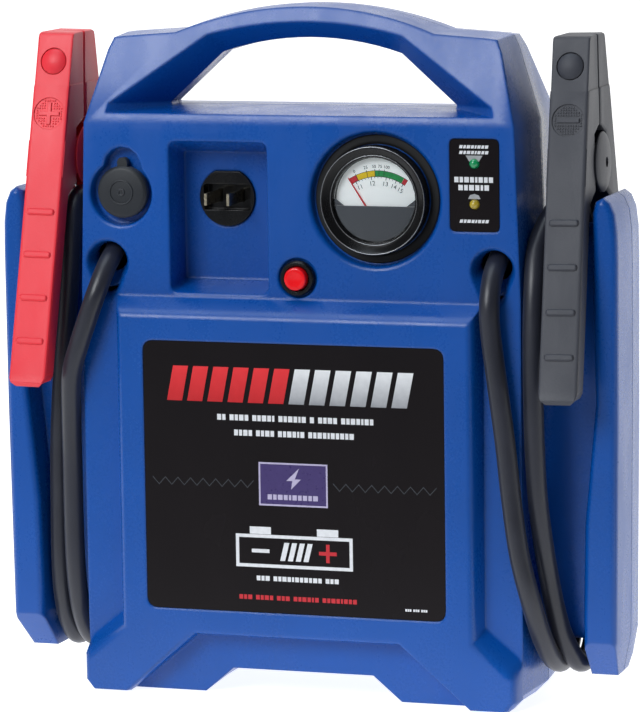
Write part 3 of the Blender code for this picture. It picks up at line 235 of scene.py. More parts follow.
def solid_mesh(drawn):
    """The mesh of a curve or a text object as it is drawn."""
    return bpy.data.meshes.new_from_object(drawn.evaluated_get(bpy.context.evaluated_depsgraph_get()))


def lead(name, route):
    """A booster lead: a tube along its route, which stands for the lead's CAD solid."""
    points = smooth_route(route)
    data = bpy.data.curves.new(name, "CURVE")
    data.dimensions = "3D"
    data.bevel_depth = LEAD_DIAMETER / 2
    data.bevel_resolution = LEAD_ROUNDNESS
    data.use_fill_caps = True
    spline = data.splines.new("POLY")
    spline.points.add(len(points) - 1)
    for point, place in zip(spline.points, points):
        point.co = (*place, 1)
    drawn = bpy.data.objects.new(name, data)
    bpy.context.scene.collection.objects.link(drawn)
    bpy.context.view_layer.update()
    tube = solid_mesh(drawn)
    bpy.data.objects.remove(drawn)
    bpy.data.curves.remove(data)
    for face in tube.polygons:
        face.use_smooth = True
    piece = bpy.data.objects.new(name + "_cable", tube)
    bpy.context.scene.collection.objects.link(piece)
    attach(piece, "case")
    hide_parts(name)
    return piece


# Materials


def linear(value):
    return value / 255 / 12.92 if value <= 10 else ((value / 255 + 0.055) / 1.055) ** 2.4


def srgb(red, green, blue):
    """A colour from its 0 to 255 display values."""
    return tuple(linear(value) for value in (red, green, blue)) + (1,)


def shaded(colour, factor):
    return tuple(min(1.0, v * factor) for v in colour[:3]) + (1,)


class Finish:
    """A material and short ways to add nodes to it."""

    def __init__(self, name):
        self.material = bpy.data.materials.new(name)
        self.material.use_nodes = True
        self.tree = self.material.node_tree
        self.shader = self.tree.nodes["Principled BSDF"]
        self.place = self.add("ShaderNodeTexCoord").outputs["Object"]

    def add(self, kind, **settings):
        node = self.tree.nodes.new(kind)
        for key, value in settings.items():
            setattr(node, key, value)
        return node

    def feed(self, socket, value):
        if isinstance(value, bpy.types.NodeSocket):
            self.tree.links.new(value, socket)
        else:
            socket.default_value = value

    def set(self, name, value):
        """Sets or links one of the shader's own inputs."""
        self.feed(self.shader.inputs[name], value)

    def stretched(self, scale):
        node = self.add("ShaderNodeMapping")
        self.feed(node.inputs["Vector"], self.place)
        node.inputs["Scale"].default_value = scale
        return node.outputs["Vector"]

    def noise(self, scale, detail=2.0, place=None):
        node = self.add("ShaderNodeTexNoise")
        self.feed(node.inputs["Vector"], place or self.place)
        node.inputs["Scale"].default_value = scale
        node.inputs["Detail"].default_value = detail
        return node.outputs["Fac"]

    def cells(self, scale, place=None):
        node = self.add("ShaderNodeTexVoronoi")
        self.feed(node.inputs["Vector"], place or self.place)
        node.inputs["Scale"].default_value = scale
        return node.outputs["Distance"]

    def spread(self, value, low, high, start=0.3, end=0.7):
        """Turns start to end into low to high."""
        node = self.add("ShaderNodeMapRange")
        self.feed(node.inputs["Value"], value)
        node.inputs["From Min"].default_value = start
        node.inputs["From Max"].default_value = end
        node.inputs["To Min"].default_value = low
        node.inputs["To Max"].default_value = high
        return node.outputs["Result"]

    def combine(self, kind, a, b):
        node = self.add("ShaderNodeMath", operation=kind)
        self.feed(node.inputs[0], a)
        self.feed(node.inputs[1], b)
        return node.outputs["Value"]

    def mix(self, factor, a, b):
        node = self.add("ShaderNodeMix", data_type="RGBA")
        self.feed(node.inputs["Factor"], factor)
        self.feed(node.inputs["A"], a)
        self.feed(node.inputs["B"], b)
        return node.outputs["Result"]

    def edges(self, radius):
        """1 along sharp edges, and 0 on the faces between them."""
        rounded = self.add("ShaderNodeBevel", samples=4)
        rounded.inputs["Radius"].default_value = radius
        face = self.add("ShaderNodeNewGeometry")
        turn = self.add("ShaderNodeVectorMath", operation="DOT_PRODUCT")
        self.feed(turn.inputs[0], rounded.outputs["Normal"])
        self.feed(turn.inputs[1], face.outputs["Normal"])
        return self.spread(turn.outputs["Value"], 1.0, 0.0, 0.75, 0.93)

    def bump(self, height, distance, softened=0.0):
        """A bumped normal, over edges softened to a small radius."""
        node = self.add("ShaderNodeBump")
        self.feed(node.inputs["Height"], height)
        node.inputs["Distance"].default_value = distance
        if softened:
            rounded = self.add("ShaderNodeBevel", samples=6)
            rounded.inputs["Radius"].default_value = softened
            self.feed(node.inputs["Normal"], rounded.outputs["Normal"])
        return node.outputs["Normal"]


def moulded_plastic(
    name, colour, roughness, grain=700.0, depth=0.00005, worn=0.22, gloss=0.4, softened=0.0006
):
    """Moulded plastic: fine grain, slow drifts of tone, faint scuffs, and paler edges where it is rubbed."""
    finish = Finish(name)
    drift = finish.noise(11.0, 3.0)
    speck = finish.noise(grain, 2.0)
    scuff = finish.noise(60.0, 5.0, finish.stretched((1.0, 1.0, 0.25)))
    tone = finish.mix(finish.spread(drift, 0.0, 1.0), shaded(colour, 0.92), shaded(colour, 1.08))
    tone = finish.mix(finish.spread(speck, 0.0, 0.10), tone, shaded(colour, 1.5))
    wear = finish.spread(scuff, 0.1, worn, 0.35, 0.65)
    rubbed = finish.combine("MULTIPLY", finish.edges(0.0012), wear)
    pale = tuple(v * 0.7 + 0.12 for v in colour[:3]) + (1,)
    finish.set("Base Color", finish.mix(rubbed, tone, pale))
    rough = finish.spread(scuff, roughness - 0.05, roughness + 0.07)
    finish.set("Roughness", finish.combine("ADD", rough, finish.spread(speck, -0.03, 0.03)))
    finish.set("Normal", finish.bump(speck, depth, softened))
    finish.set("Specular IOR Level", gloss)
    return finish.material


def rubber(name, colour, roughness=0.62):
    """Rubber or soft jacket: matt, with a fine dusty bloom."""
    finish = Finish(name)
    dust = finish.noise(35.0, 4.0)
    speck = finish.noise(1300.0, 2.0)
    tone = finish.mix(finish.spread(dust, 0.0, 1.0), shaded(colour, 0.85), shaded(colour, 1.25))
    finish.set("Base Color", finish.mix(finish.spread(speck, 0.0, 0.3), tone, shaded(colour, 1.6)))
    finish.set("Roughness", finish.spread(dust, roughness - 0.08, roughness + 0.08))
    finish.set("Normal", finish.bump(speck, 0.00005))
    finish.set("Sheen Weight", 0.05)
    return finish.material


def metal(name, colour, roughness, brushed=(1.0, 1.0, 12.0)):
    """Plated metal with fine draw lines and a little tarnish."""
    finish = Finish(name)
    lines = finish.noise(900.0, 2.0, finish.stretched(brushed))
    tarnish = finish.noise(90.0, 4.0)
    tone = finish.mix(finish.spread(tarnish, 0.0, 1.0), shaded(colour, 0.72), colour)
    finish.set("Base Color", tone)
    finish.set("Roughness", finish.spread(lines, roughness - 0.07, roughness + 0.10))
    finish.set("Normal", finish.bump(lines, 0.00002))
    finish.set("Metallic", 1.0)
    return finish.material


def printed(name, colour, roughness=0.38, glow=0.0):
    """Screen-printed ink: nearly even, with pinholes and a slightly raised surface; glow, where it is given,
    is a painted light that makes the ink give off its own colour.
    """
    finish = Finish(name)
    mottle = finish.noise(420.0, 3.0)
    tone = finish.mix(finish.spread(mottle, 0.0, 1.0), shaded(colour, 0.93), shaded(colour, 1.05))
    finish.set("Base Color", tone)
    finish.set("Roughness", finish.spread(mottle, roughness - 0.05, roughness + 0.08))
    finish.set("Normal", finish.bump(mottle, 0.00001))
    finish.set("Emission Color", colour)
    # Painted light where glow is above 0: the ink gives off light of its own colour
    finish.set("Emission Strength", glow)
    return finish.material


def brushed_ink(name, top, bottom, low, high):
    """Ink that fades from one colour at the height low to another at high."""
    finish = Finish(name)
    split = finish.add("ShaderNodeSeparateXYZ")
    finish.feed(split.inputs["Vector"], finish.place)
    mottle = finish.noise(260.0, 3.0)
    fade = finish.spread(split.outputs["Z"], 0.0, 1.0, low * MM, high * MM)
    level = finish.combine("ADD", fade, finish.spread(mottle, -0.05, 0.05))
    finish.set("Base Color", finish.mix(level, bottom, top))
    finish.set("Roughness", finish.spread(mottle, 0.28, 0.4))
    return finish.material


def glossy_film(name, colour, roughness=0.22):
    """A laminated vinyl label: dark film under a clear layer with slight orange peel."""
    finish = Finish(name)
    peel = finish.noise(240.0, 2.0)
    smear = finish.noise(18.0, 4.0, finish.stretched((1.0, 1.0, 0.4)))
    tone = finish.mix(finish.spread(smear, 0.0, 1.0), shaded(colour, 0.9), shaded(colour, 1.15))
    finish.set("Base Color", tone)
    finish.set("Roughness", finish.spread(smear, roughness - 0.04, roughness + 0.08))
    finish.set("Normal", finish.bump(peel, 0.00002))
    finish.set("Specular IOR Level", 0.15)
    return finish.material


def lamp_glass(name, colour, glow):
    """A coloured lamp dome, faintly lit from inside."""
    finish = Finish(name)
    cloud = finish.noise(500.0, 2.0)
    tone = finish.mix(finish.spread(cloud, 0.0, 1.0), shaded(colour, 0.8), shaded(colour, 1.2))
    finish.set("Base Color", tone)
    finish.set("Emission Color", tone)
    finish.set("Emission Strength", glow)
    finish.set("Roughness", finish.spread(cloud, 0.08, 0.16))
    finish.set("Coat Weight", 1.0)
    return finish.material


def clear_window(name):
    """A clear lens: light passes straight through, and the surface keeps its gloss."""
    finish = Finish(name)
    smear = finish.noise(90.0, 3.0)
    clear = finish.add("ShaderNodeBsdfTransparent")
    gloss = finish.add("ShaderNodeBsdfGlossy")
    finish.feed(gloss.inputs["Roughness"], finish.spread(smear, 0.04, 0.10))
    fresnel = finish.add("ShaderNodeFresnel")
    fresnel.inputs["IOR"].default_value = 1.45
    both = finish.add("ShaderNodeMixShader")
    finish.feed(both.inputs["Fac"], fresnel.outputs["Fac"])
    finish.feed(both.inputs[1], clear.outputs["BSDF"])
    finish.feed(both.inputs[2], gloss.outputs["BSDF"])
    finish.tree.nodes.remove(finish.shader)
    end = finish.tree.nodes["Material Output"]
    finish.feed(end.inputs["Surface"], both.outputs["Shader"])
    return finish.material


def circuit_board(name):
    """Green lacquer over paler tracks."""
    finish = Finish(name)
    tracks = finish.cells(260.0)
    tone = finish.mix(finish.spread(tracks, 0.0, 1.0, 0.35, 0.45), srgb(24, 92, 48), srgb(40, 130, 70))
    finish.set("Base Color", tone)
    finish.set("Roughness", finish.spread(tracks, 0.3, 0.5))
    finish.set("Normal", finish.bump(tracks, 0.00005))
    return finish.material


BLUE = srgb(2, 76, 160)
RED = srgb(236, 50, 62)
BLACK = srgb(60, 62, 70)

# How a CAD node's mesh is read for shading: points closer than this are one, faces nearer than
# FLAT_ANGLE to each other are one plane, and an edge sharper than SHARP_ANGLE stays crisp
WELD_DISTANCE = 0.00001
FLAT_ANGLE = math.radians(0.4)
SHARP_ANGLE = math.radians(34)


def dress(node, material):
    """Gives a CAD node its material and soft, even shading."""
    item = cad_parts[node]
    item.data.materials.clear()
    item.data.materials.append(material)
    for face in item.data.polygons:
        face.use_smooth = True
    weld = item.modifiers.new("weld", "WELD")
    weld.merge_threshold = WELD_DISTANCE
    flat = item.modifiers.new("flat", "DECIMATE")
    flat.decimate_type = "DISSOLVE"
    flat.angle_limit = FLAT_ANGLE
    split = item.modifiers.new("split", "EDGE_SPLIT")
    split.split_angle = SHARP_ANGLE
    even = item.modifiers.new("even", "WEIGHTED_NORMAL")
    even.keep_sharp = True


def dress_all():
    blue = moulded_plastic("blue_plastic", BLUE, 0.28, gloss=0.45, softened=0.0022)
    red = moulded_plastic("red_plastic", RED, 0.42, grain=900.0)
    black = moulded_plastic("black_plastic", BLACK, 0.48, grain=900.0)
    smooth = {"depth": 0.00001}
    dark = moulded_plastic("dark_plastic", srgb(12, 12, 14), 0.24, grain=1200.0, gloss=0.3, **smooth)
    cap = rubber("cap_rubber", srgb(24, 29, 36), 0.55)
    film = glossy_film("label_film", srgb(22, 18, 20))
    steel = metal("zinc_plate", srgb(200, 198, 190), 0.34)
    nickel = metal("nickel_blade", srgb(226, 214, 186), 0.22, (1.0, 12.0, 1.0))
    copper = metal("copper", srgb(206, 128, 82), 0.36)
    spring = metal("spring_steel", srgb(150, 150, 152), 0.3)
    button = moulded_plastic("button_plastic", srgb(250, 16, 26), 0.18, grain=1500.0, gloss=0.5, **smooth)
    # The dial card is given a faint glow, a painted light that brightens it though nothing lights it from
    # inside
    dial = printed("dial_card_painted_glow", srgb(246, 254, 255), 0.5, 0.2)
    cover = moulded_plastic("meter_cover_plastic", srgb(70, 76, 84), 0.42, grain=1500.0)
    needle = printed("needle_paint", srgb(214, 24, 40), 0.35)
    board = circuit_board("circuit_board")
    casing = moulded_plastic("battery_case", srgb(44, 44, 48), 0.5, grain=500.0)
    lead_post = metal("lead_alloy", srgb(150, 150, 155), 0.45)
    coil = metal("winding", srgb(190, 110, 60), 0.4)
    white_label = printed("rear_label_film", srgb(206, 208, 210), 0.3)
    finishes = {
        "front_shell": blue,
        "rear_shell": blue,
        "front_label": film,
        "status_label": film,
        "rear_label": white_label,
        "meter_housing": dark,
        "meter_dial": dial,
        "meter_cover": cover,
        "meter_needle": needle,
        "meter_lens": clear_window("meter_window"),
        "test_button": button,
        "button_housing": dark,
        "charge_inlet": dark,
        "charge_blade_left": nickel,
        "charge_blade_right": nickel,
        "outlet_socket": dark,
        "outlet_contact": nickel,
        "outlet_cap": cap,
        "green_lamp": lamp_glass("green_lamp_glass", srgb(0, 132, 78), 0.25),
        "amber_lamp": lamp_glass("amber_lamp_glass", srgb(172, 150, 40), 0.12),
        "lamp_board": board,
        "charger_board": board,
        "battery": casing,
        "battery_terminal_negative": lead_post,
        "battery_terminal_positive": lead_post,
        "terminal_bolt_negative": steel,
        "terminal_bolt_positive": steel,
        "lead_bar_negative": copper,
        "lead_bar_positive": copper,
        "charger_transformer": coil,
        "circuit_breaker": dark,
    }
    for k in range(1, 7):
        finishes[f"case_screw_{k}"] = steel
    for side, plastic in (("red", red), ("black", black)):
        for half in ("front", "rear"):
            finishes[f"{side}_{half}_grip"] = plastic
            finishes[f"{side}_{half}_rivet"] = plastic
            finishes[f"{side}_{half}_jaw_plate"] = copper
        finishes[f"{side}_pivot_pin"] = steel
        finishes[f"{side}_spring"] = spring
    for node, finish in finishes.items():
        dress(node, finish)


# Printed graphics


def join_rings(mesh, low, high):
    """Closes two rings of the same number of points into a solid block."""
    mesh.faces.new(low)
    mesh.faces.new(high)
    for a, b, c, d in zip(low, low[1:] + low[:1], high[1:] + high[:1], high):
        mesh.faces.new((a, b, c, d))


def print_shapes(name, outlines, face, material, body="case", facing=-1, depth=0.05):
    """Thin closed shapes on a face: each outline is a ring of X, Z points in millimetres."""
    mesh = bmesh.new()
    for outline in outlines:
        rings = []
        for level in (-depth, INK):
            y = (face + facing * level) * MM
            rings.append([mesh.verts.new((x * MM, y, z * MM)) for x, z in outline])
        join_rings(mesh, *rings)
    bmesh.ops.recalc_face_normals(mesh, faces=mesh.faces)
    return add_piece(name, mesh, material, body)


def add_piece(name, mesh, material, body):
    """Turns a finished bmesh into a piece that rides on a body."""
    data = bpy.data.meshes.new(name)
    mesh.to_mesh(data)
    mesh.free()
    data.materials.append(material)
    piece = bpy.data.objects.new(name, data)
    bpy.context.scene.collection.objects.link(piece)
    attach(piece, body)
    return piece


def slanted(left, right, low, high, lean=0.0):
    """A four-sided block whose top is moved to the right by lean times its height."""
    shift = (high - low) * lean
    return [(left, low), (right, low), (right + shift, high), (left + shift, high)]


def rounded(left, right, low, high, radius, steps=5):
    """A block with rounded corners."""
    corners = ((right - radius, low + radius, -90), (right - radius, high - radius, 0))
    corners += ((left + radius, high - radius, 90), (left + radius, low + radius, 180))
    points = []
    for x, z, start in corners:
        for k in range(steps + 1):
            turn = math.radians(start + 90 * k / steps)
            points.append((x + radius * math.cos(turn), z + radius * math.sin(turn)))
    return points


def word_blocks(left, right, level, height, words, lean=0.0):
    """A row of small blocks that stand for words; words gives the number of blocks in each."""
    shares = []
    for word in words:
        shares += [BLOCK_WIDTHS[k % len(BLOCK_WIDTHS)] for k in range(word)] + [None]
    shares.pop()
    total = sum(WORD_GAP if share is None else share + BLOCK_GAP for share in shares)
    unit = (right - left) / total
    blocks = []
    x = left
    for share in shares:
        if share is None:
            x += WORD_GAP * unit
            continue
        blocks.append(slanted(x, x + share * unit, level - height / 2, level + height / 2, lean))
        x += (share + BLOCK_GAP) * unit
    return blocks


def frame_shape(left, right, low, high, width):
    """The four sides of a thin border, as blocks that meet at the corners."""
    return [
        slanted(left, right, low, low + width),
        slanted(left, right, high - width, high),
        slanted(left, left + width, low + width, high - width),
        slanted(right - width, right, low + width, high - width),
    ]


def label_title():
    """A gauge of slanted blocks, red and then silver."""
    fade = 161, 183
    red = brushed_ink("title_red", srgb(232, 48, 54), srgb(190, 22, 30), *fade)
    silver = brushed_ink("title_silver", srgb(238, 240, 242), srgb(138, 140, 146), *fade)
    start, low, high, pitch, width, lean, half_count = -71.0, 162.6, 181.6, 11.5, 8.6, 0.2, 6
    halves = (("label_gauge_red", red, 0), ("label_gauge_silver", silver, half_count))
    for name, material, first in halves:
        blocks = []
        for k in range(first, first + half_count):
            left = start + k * pitch
            blocks.append(slanted(left, left + width, low, high, lean))
        print_shapes(name, blocks, LABEL_Y, material)


def label_lines():
    """The label's rows of word blocks, in white and in red."""
    white = printed("label_white", srgb(226, 228, 232))
    red = printed("label_red", srgb(198, 34, 46))
    for name, rows, material in (
        ("label_rows_white", LABEL_ROWS_WHITE, white),
        ("label_rows_red", LABEL_ROWS_RED, red),
    ):
        blocks = [block for row in rows for block in word_blocks(*row)]
        print_shapes(name, blocks, LABEL_Y, material)
    return white, red


def label_badge():
    """A bordered plate with a bolt of lightning on it."""
    border = printed("badge_border", srgb(186, 178, 208))
    plate = printed("badge_plate", srgb(62, 48, 104), 0.3)
    print_shapes("badge_plate", [slanted(-18.6, 18.6, 107.8, 129.8)], LABEL_Y - 0.02, plate)
    shapes = frame_shape(-19.4, 19.4, 107.0, 130.6, 0.9)
    shapes += word_blocks(-14.5, 14.5, 111.8, 2.8, (10,))
    bolt = [(-1.2, 116.2), (4.4, 121.9), (1.0, 121.9), (3.4, 127.9), (-3.8, 120.9), (-0.4, 120.9)]
    shapes.append(bolt)
    print_shapes("badge_border", shapes, LABEL_Y - 0.1, border)


def label_wave():
    """A faint, even zigzag across the label, broken by the badge."""
    faint = printed("wave_ink", srgb(62, 66, 72))
    level, swing, pitch, width = 118.4, 2.0, 3.6, 0.5
    shapes = []
    for left, right in ((-80.0, -22.4), (22.4, 80.0)):
        count = round((right - left) / pitch)
        points = [(left + pitch * k, level + swing * (-1) ** k) for k in range(count + 1)]
        for (x0, z0), (x1, z1) in zip(points, points[1:]):
            half = width / 2
            shapes.append([(x0, z0 - half), (x1, z1 - half), (x1, z1 + half), (x0, z0 + half)])
    print_shapes("label_wave", shapes, LABEL_Y, faint)


def label_pictogram(white, red):
    """A battery outline with its two poles marked."""
    shapes = frame_shape(-33.0, 33.0, 73.0, 91.0, 1.8)
    shapes += [slanted(-25.0, -13.0, 91.2, 95.2), slanted(13.0, 25.0, 91.2, 95.2)]
    shapes += [slanted(-24.0, -14.0, 81.0, 83.0)]
    shapes += [slanted(-8.0 + k * 4.4, -5.2 + k * 4.4, 77.0, 87.0, 0.25) for k in range(4)]
    print_shapes("battery_sign", shapes, LABEL_Y, white)
    cross = [(14, 81), (18, 81), (18, 77), (20, 77), (20, 81), (24, 81)]
    cross += [(24, 83), (20, 83), (20, 87), (18, 87), (18, 83), (14, 83)]
    print_shapes("battery_sign_plus", [cross], LABEL_Y, red)


def front_graphics():
    label_title()
    white, red = label_lines()
    label_badge()
    label_wave()
    label_pictogram(white, red)
    return white


def status_graphics(white):
    """The status label's rows of word blocks, and a pointer over and under the lamps."""
    x = LAMPS_X
    grey = printed("status_grey", srgb(168, 170, 174))
    rows = word_blocks(x - 8.2, x + 8.0, 301.2, 1.7, (8,), 0.25)
    rows += word_blocks(x - 8.2, x + 8.0, 298.2, 1.7, (8,), 0.25)
    rows += word_blocks(x - 10.9, x + 10.9, 283.8, 2.9, (8,))
    rows += word_blocks(x - 8.7, x + 8.7, 279.6, 2.9, (6,))
    rows += word_blocks(x - 8.2, x + 8.0, 261.8, 1.7, (8,), 0.25)
    print_shapes("status_rows", rows, STATUS_Y, white)
    wedge = [(x - 4.6, 296.6), (x - 2.6, 293.4), (x + 2.6, 293.4), (x + 4.6, 296.6)]
    arch = [(x - 3.4, 273.6), (x + 3.4, 273.6), (x + 2.4, 275.6), (x, 276.4), (x - 2.4, 275.6)]
    print_shapes("status_pointers", [wedge, arch], STATUS_Y, grey)


def scale_point(radius, degrees):
    """A point on the dial, in degrees to the right of straight up."""
    turn = math.radians(degrees)
    return DIAL_PIVOT[0] + radius * math.sin(turn), DIAL_PIVOT[1] + radius * math.cos(turn)


def scale_band(start, end, inner=SCALE_INNER, outer=SCALE_OUTER):
    steps = max(2, round(abs(end - start) / BAND_STEP))
    turns = [start + (end - start) * k / steps for k in range(steps + 1)]
    return [scale_point(inner, t) for t in turns] + [scale_point(outer, t) for t in reversed(turns)]


def scale_tick(degrees, inner, outer, width):
    spread = math.degrees(width / 2 / outer)
    return [
        scale_point(inner, degrees - spread),
        scale_point(inner, degrees + spread),
        scale_point(outer, degrees + spread),
        scale_point(outer, degrees - spread),
    ]


def number(text, size, radius, degrees, target):
    """Adds a number's outline to the mesh, upright on the scale."""
    data = bpy.data.curves.new("number", "FONT")
    data.body = text
    data.size = size * MM
    data.align_x = "CENTER"
    data.align_y = "CENTER"
    data.extrude = OVERPRINT * MM
    item = bpy.data.objects.new("number", data)
    bpy.context.scene.collection.objects.link(item)
    bpy.context.view_layer.update()
    outline = solid_mesh(item)
    x, z = scale_point(radius, degrees)
    stand = Matrix.Rotation(math.radians(90), 4, "X")
    lean = Matrix.Rotation(math.radians(degrees * NUMBER_LEAN), 4, "Y")
    outline.transform(Matrix.Translation((x * MM, (DIAL_Y - OVERPRINT) * MM, z * MM)) @ lean @ stand)
    target.from_mesh(outline)
    bpy.data.objects.remove(item)
    bpy.data.meshes.remove(outline)
    bpy.data.curves.remove(data)


def dial_graphics():
    """The voltmeter's coloured scale, its ticks and its numbers."""
    for name, colour, spans in SCALE_BANDS:
        bands = [scale_band(*span) for span in spans]
        print_shapes(name, bands, DIAL_Y, printed(name, srgb(*colour)))
    ink = printed("dial_ink", srgb(34, 38, 44))
    ticks = []
    for inner, outer, width, turns in SCALE_TICKS:
        ticks += [scale_tick(turn, inner, outer, width) for turn in turns]
    print_shapes("dial_ticks", ticks, DIAL_Y - OVERPRINT, ink)
    rims = [
        scale_band(*SCALE_ENDS, SCALE_OUTER, SCALE_OUTER + RIM_WIDTH),
        scale_band(*SCALE_ENDS, SCALE_INNER - RIM_WIDTH, SCALE_INNER),
    ]
    print_shapes("dial_arcs", rims, DIAL_Y, ink)
    numbers = bmesh.new()
    for size, radius, places in DIAL_NUMBERS:
        for text, degrees in places:
            number(text, size, radius, degrees, numbers)
    bmesh.ops.recalc_face_normals(numbers, faces=numbers.faces)
    add_piece("dial_numbers", numbers, ink, "case")


def meter_details():
    """The dark cover's raised shoulders, a near-black ring round the meter, and thin silver rings on the
    bezel that are painted highlights.
    """
    x, z, radius = WINDOW
    shade = moulded_plastic("cover_shoulder_plastic", srgb(70, 76, 84), 0.42, grain=1500.0)
    shoulders = []
    for side in (-1, 1):
        shoulder = [(x + side * 17.6, z - 3.2)]
        for turn in (-0.14, -0.09, -0.04, 0.02):
            shoulder.append((x + side * radius * math.cos(turn), z + radius * math.sin(turn)))
        shoulders.append(shoulder)
    print_shapes("meter_cover_shoulders", shoulders, COVER_Y, shade, depth=1.2)
    # A near-black ring on the floor of the meter's recess, round the bezel
    black_ring = rubber("black_ring_rubber", srgb(8, 8, 10), 0.7)
    mesh = bmesh.new()
    bead = ((29.5, -36.1), (29.5, -36.6), (31.2, -36.7), (33.6, -36.7), (34.4, -36.6), (34.4, -36.1))
    lathe_ring(mesh, (x, z), bead, 72)
    add_piece("meter_black_ring", mesh, black_ring, "case")
    # Thin silver rings on the black bezel: painted highlights, standing for the glints on its glossy edges
    highlight_paint = metal("bezel_painted_highlight", srgb(170, 172, 176), 0.3)
    mesh = bmesh.new()
    outer_highlight = ((28.35, -46.4), (28.45, -46.72), (28.75, -46.72), (28.85, -46.4))
    inner_highlight = ((23.75, -44.2), (23.85, -44.5), (24.05, -44.5), (24.15, -44.2))
    for profile in (outer_highlight, inner_highlight):
        lathe_ring(mesh, (x, z), profile, 96)
    add_piece("meter_bezel_painted_highlights", mesh, highlight_paint, "case")


def lathe_ring(mesh, centre, profile, steps):
    """A closed ring turned about an axis along Y: the profile's points are radius, Y."""
    rings = []
    for k in range(steps):
        turn = 2 * math.pi * k / steps
        ring = []
        for radius, y in profile:
            x = centre[0] + radius * math.cos(turn)
            z = centre[1] + radius * math.sin(turn)
            ring.append(mesh.verts.new((x * MM, y * MM, z * MM)))
        rings.append(ring)
    for a, b in zip(rings, rings[1:] + rings[:1]):
        for k in range(len(profile)):
            n = (k + 1) % len(profile)
            mesh.faces.new((a[k], a[n], b[n], b[k]))
    bmesh.ops.recalc_face_normals(mesh, faces=mesh.faces)
    for face in mesh.faces:
        face.smooth = True


def cap_emblem():
    """A raised ring and dot on the outlet cap."""
    x, z = CAP
    mesh = bmesh.new()
    base, face = CAP_EMBLEM_Y, CAP_EMBLEM_Y - 0.35
    lathe_ring(mesh, (x, z), ((6.0, base), (6.15, face), (6.75, face), (6.9, base)), 48)
    lathe_ring(mesh, (x, z), ((1.0, base), (1.1, face), (2.1, face), (2.3, base)), 32)
    emblem = rubber("cap_emblem_rubber", srgb(28, 33, 40), 0.5)
    add_piece("outlet_cap_emblem", mesh, emblem, "outlet_cap")


def sign_hatch(prefix, side, half, body, plus, material):
    """Fine raised squares round the plus or minus on a clamp half."""
    lean = math.atan(GRIP_LEAN)
    tilt = Matrix.Rotation(math.radians(-side * GRIP_TILT), 4, "Y")
    turn = Matrix.Rotation(math.radians(180 if half == "front" else 0), 4, "Z")
    level = Matrix.Rotation(math.radians(-90) + lean, 4, "X")
    level = level @ Matrix.Rotation(math.radians(180), 4, "Z")
    centre = Matrix.Translation((side * PIVOT_X, 0, PIVOT_Z))
    place = centre @ tilt @ turn @ Matrix.Translation((0, GRIP_OUT - GRIP_LEAN * SIGN_Z, SIGN_Z)) @ level
    mesh = bmesh.new()
    count = int(HATCH_FIELD / HATCH)
    for i in range(-count, count + 1):
        for j in range(-count, count + 1):
            x, y = i * HATCH, j * HATCH
            on_bar = abs(y) < SIGN_HALF_WIDTH and abs(x) < SIGN_HALF_LENGTH
            on_post = plus and abs(x) < SIGN_HALF_WIDTH and abs(y) < SIGN_HALF_LENGTH
            if math.hypot(x, y) > HATCH_ROUND or on_bar or on_post:
                continue
            rings = []
            for reach, height in HATCH_SQUARE:
                ring = []
                for a, b in ((-reach, -reach), (reach, -reach), (reach, reach), (-reach, reach)):
                    ring.append(mesh.verts.new((place @ Vector((x + a, y + b, height))) * MM))
                rings.append(ring)
            join_rings(mesh, *rings)
    bmesh.ops.recalc_face_normals(mesh, faces=mesh.faces)
    add_piece(f"{prefix}_{half}_hatch", mesh, material, body)


def all_hatches():
    for prefix, side, plus, colour in (("red", -1, True, RED), ("black", 1, False, BLACK)):
        material = moulded_plastic(f"{prefix}_hatch_plastic", colour, 0.45, grain=900.0)
        sign_hatch(prefix, side, "front", f"{prefix}_clamp_front", plus, material)
        sign_hatch(prefix, side, "rear", "case", plus, material)


def rear_graphics():
    """Rows of word blocks, a border and a coloured band on the rear label."""
    ink = printed("rear_ink", srgb(48, 52, 60))
    accent = printed("rear_accent", srgb(226, 150, 30))
    rows = []
    for k in range(REAR_ROWS):
        words = REAR_WORDS[k % 3]
        level = REAR_ROW_TOP - REAR_ROW_PITCH * k
        rows += word_blocks(-68.0, -6.0 - 4 * (k % 3), level, 2.4, words)
        rows += word_blocks(8.0, 66.0 - 5 * ((k + 1) % 3), level, 2.4, words[::-1])
    rows += frame_shape(-72.0, 72.0, 74.0, 196.0, 0.8)
    print_shapes("rear_rows", rows, REAR_Y, ink, facing=1)
    band = rounded(-68, 68, 164, 190, 3)
    print_shapes("rear_band", [band], REAR_Y, accent, facing=1)


# Room


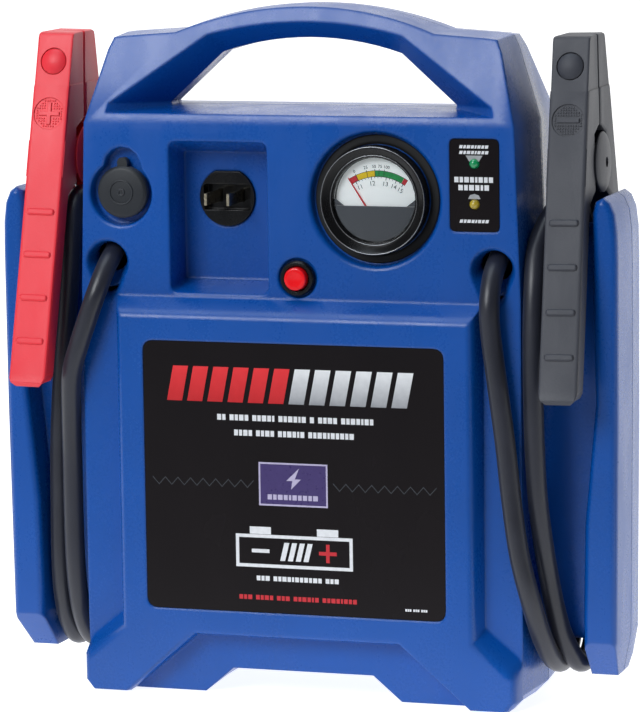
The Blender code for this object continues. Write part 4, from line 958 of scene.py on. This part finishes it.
def room():
    """A pale floor that sweeps up into a wall behind the object; it is painted darker in front of the object
    as painted shade, and glows near and behind the object as painted light.
    """
    finish = Finish("floor_painted_shade_and_glow")
    mottle = finish.noise(3.0, 3.0)
    tone = finish.mix(finish.spread(mottle, 0.0, 1.0), *FLOOR_PALE)
    finish.set("Roughness", finish.spread(mottle, 0.75, 0.9))
    split = finish.add("ShaderNodeSeparateXYZ")
    finish.feed(split.inputs["Vector"], finish.place)
    depth = split.outputs["Y"]
    # Painted shade: the floor's colour is darker in front of the object
    finish.set("Base Color", finish.mix(finish.spread(depth, 0.0, 1.0, *PAINTED_SHADE_TO_PALE), FLOOR_PAINTED_SHADE, tone))
    # Painted light: the floor glows near and behind the object, though it is no lamp
    finish.set("Emission Strength", finish.spread(depth, 0.0, FLOOR_PAINTED_GLOW, *PAINTED_GLOW_RISE))
    finish.set("Emission Color", (1, 1, 1, 1))
    mesh = bmesh.new()
    profile = [(FLOOR_FRONT, 0.0), (SWEEP_START, 0.0)]
    for k in range(1, SWEEP_STEPS + 1):
        turn = math.pi / 2 * k / SWEEP_STEPS
        rise = SWEEP_RADIUS - SWEEP_RADIUS * math.cos(turn)
        profile.append((SWEEP_START + SWEEP_RADIUS * math.sin(turn), rise))
    profile.append((SWEEP_START + SWEEP_RADIUS, WALL_TOP))
    sides = (-FLOOR_HALF_WIDTH, FLOOR_HALF_WIDTH)
    rows = [[mesh.verts.new((x, y, z - FLOOR_DROP)) for x in sides] for y, z in profile]
    for low, high in zip(rows, rows[1:]):
        mesh.faces.new((low[0], low[1], high[1], high[0]))
    data = bpy.data.meshes.new("floor")
    mesh.to_mesh(data)
    mesh.free()
    data.materials.append(finish.material)
    for face in data.polygons:
        face.use_smooth = True
    floor = bpy.data.objects.new("floor", data)
    bpy.context.scene.collection.objects.link(floor)


def lights():
    for name, (azimuth, elevation, distance, power, size, tint) in LIGHTS.items():
        data = bpy.data.lights.new(name, "AREA")
        data.energy = power
        data.size = size
        data.color = tint
        item = bpy.data.objects.new(name, data)
        item.location = outward(math.radians(azimuth), math.radians(elevation)) * distance
        item.rotation_euler = (Vector(LIGHTS_AIM) - item.location).to_track_quat("-Z", "Y").to_euler()
        bpy.context.scene.collection.objects.link(item)
    world = bpy.data.worlds.new("studio")
    world.use_nodes = True
    surround = world.node_tree.nodes["Background"]
    surround.inputs["Color"].default_value = (1, 1, 1, 1)
    surround.inputs["Strength"].default_value = ROOM_LIGHT
    bpy.context.scene.world = world


def main():
    camera()
    jacket = rubber("lead_jacket", srgb(34, 36, 46), 0.36)
    lead("red_lead", RED_ROUTE).data.materials.append(jacket)
    lead("black_lead", BLACK_ROUTE).data.materials.append(jacket)
    dress_all()
    white = front_graphics()
    status_graphics(white)
    dial_graphics()
    meter_details()
    cap_emblem()
    all_hatches()
    rear_graphics()
    room()
    lights()
    bpy.context.scene.view_settings.view_transform = "Standard"


main()
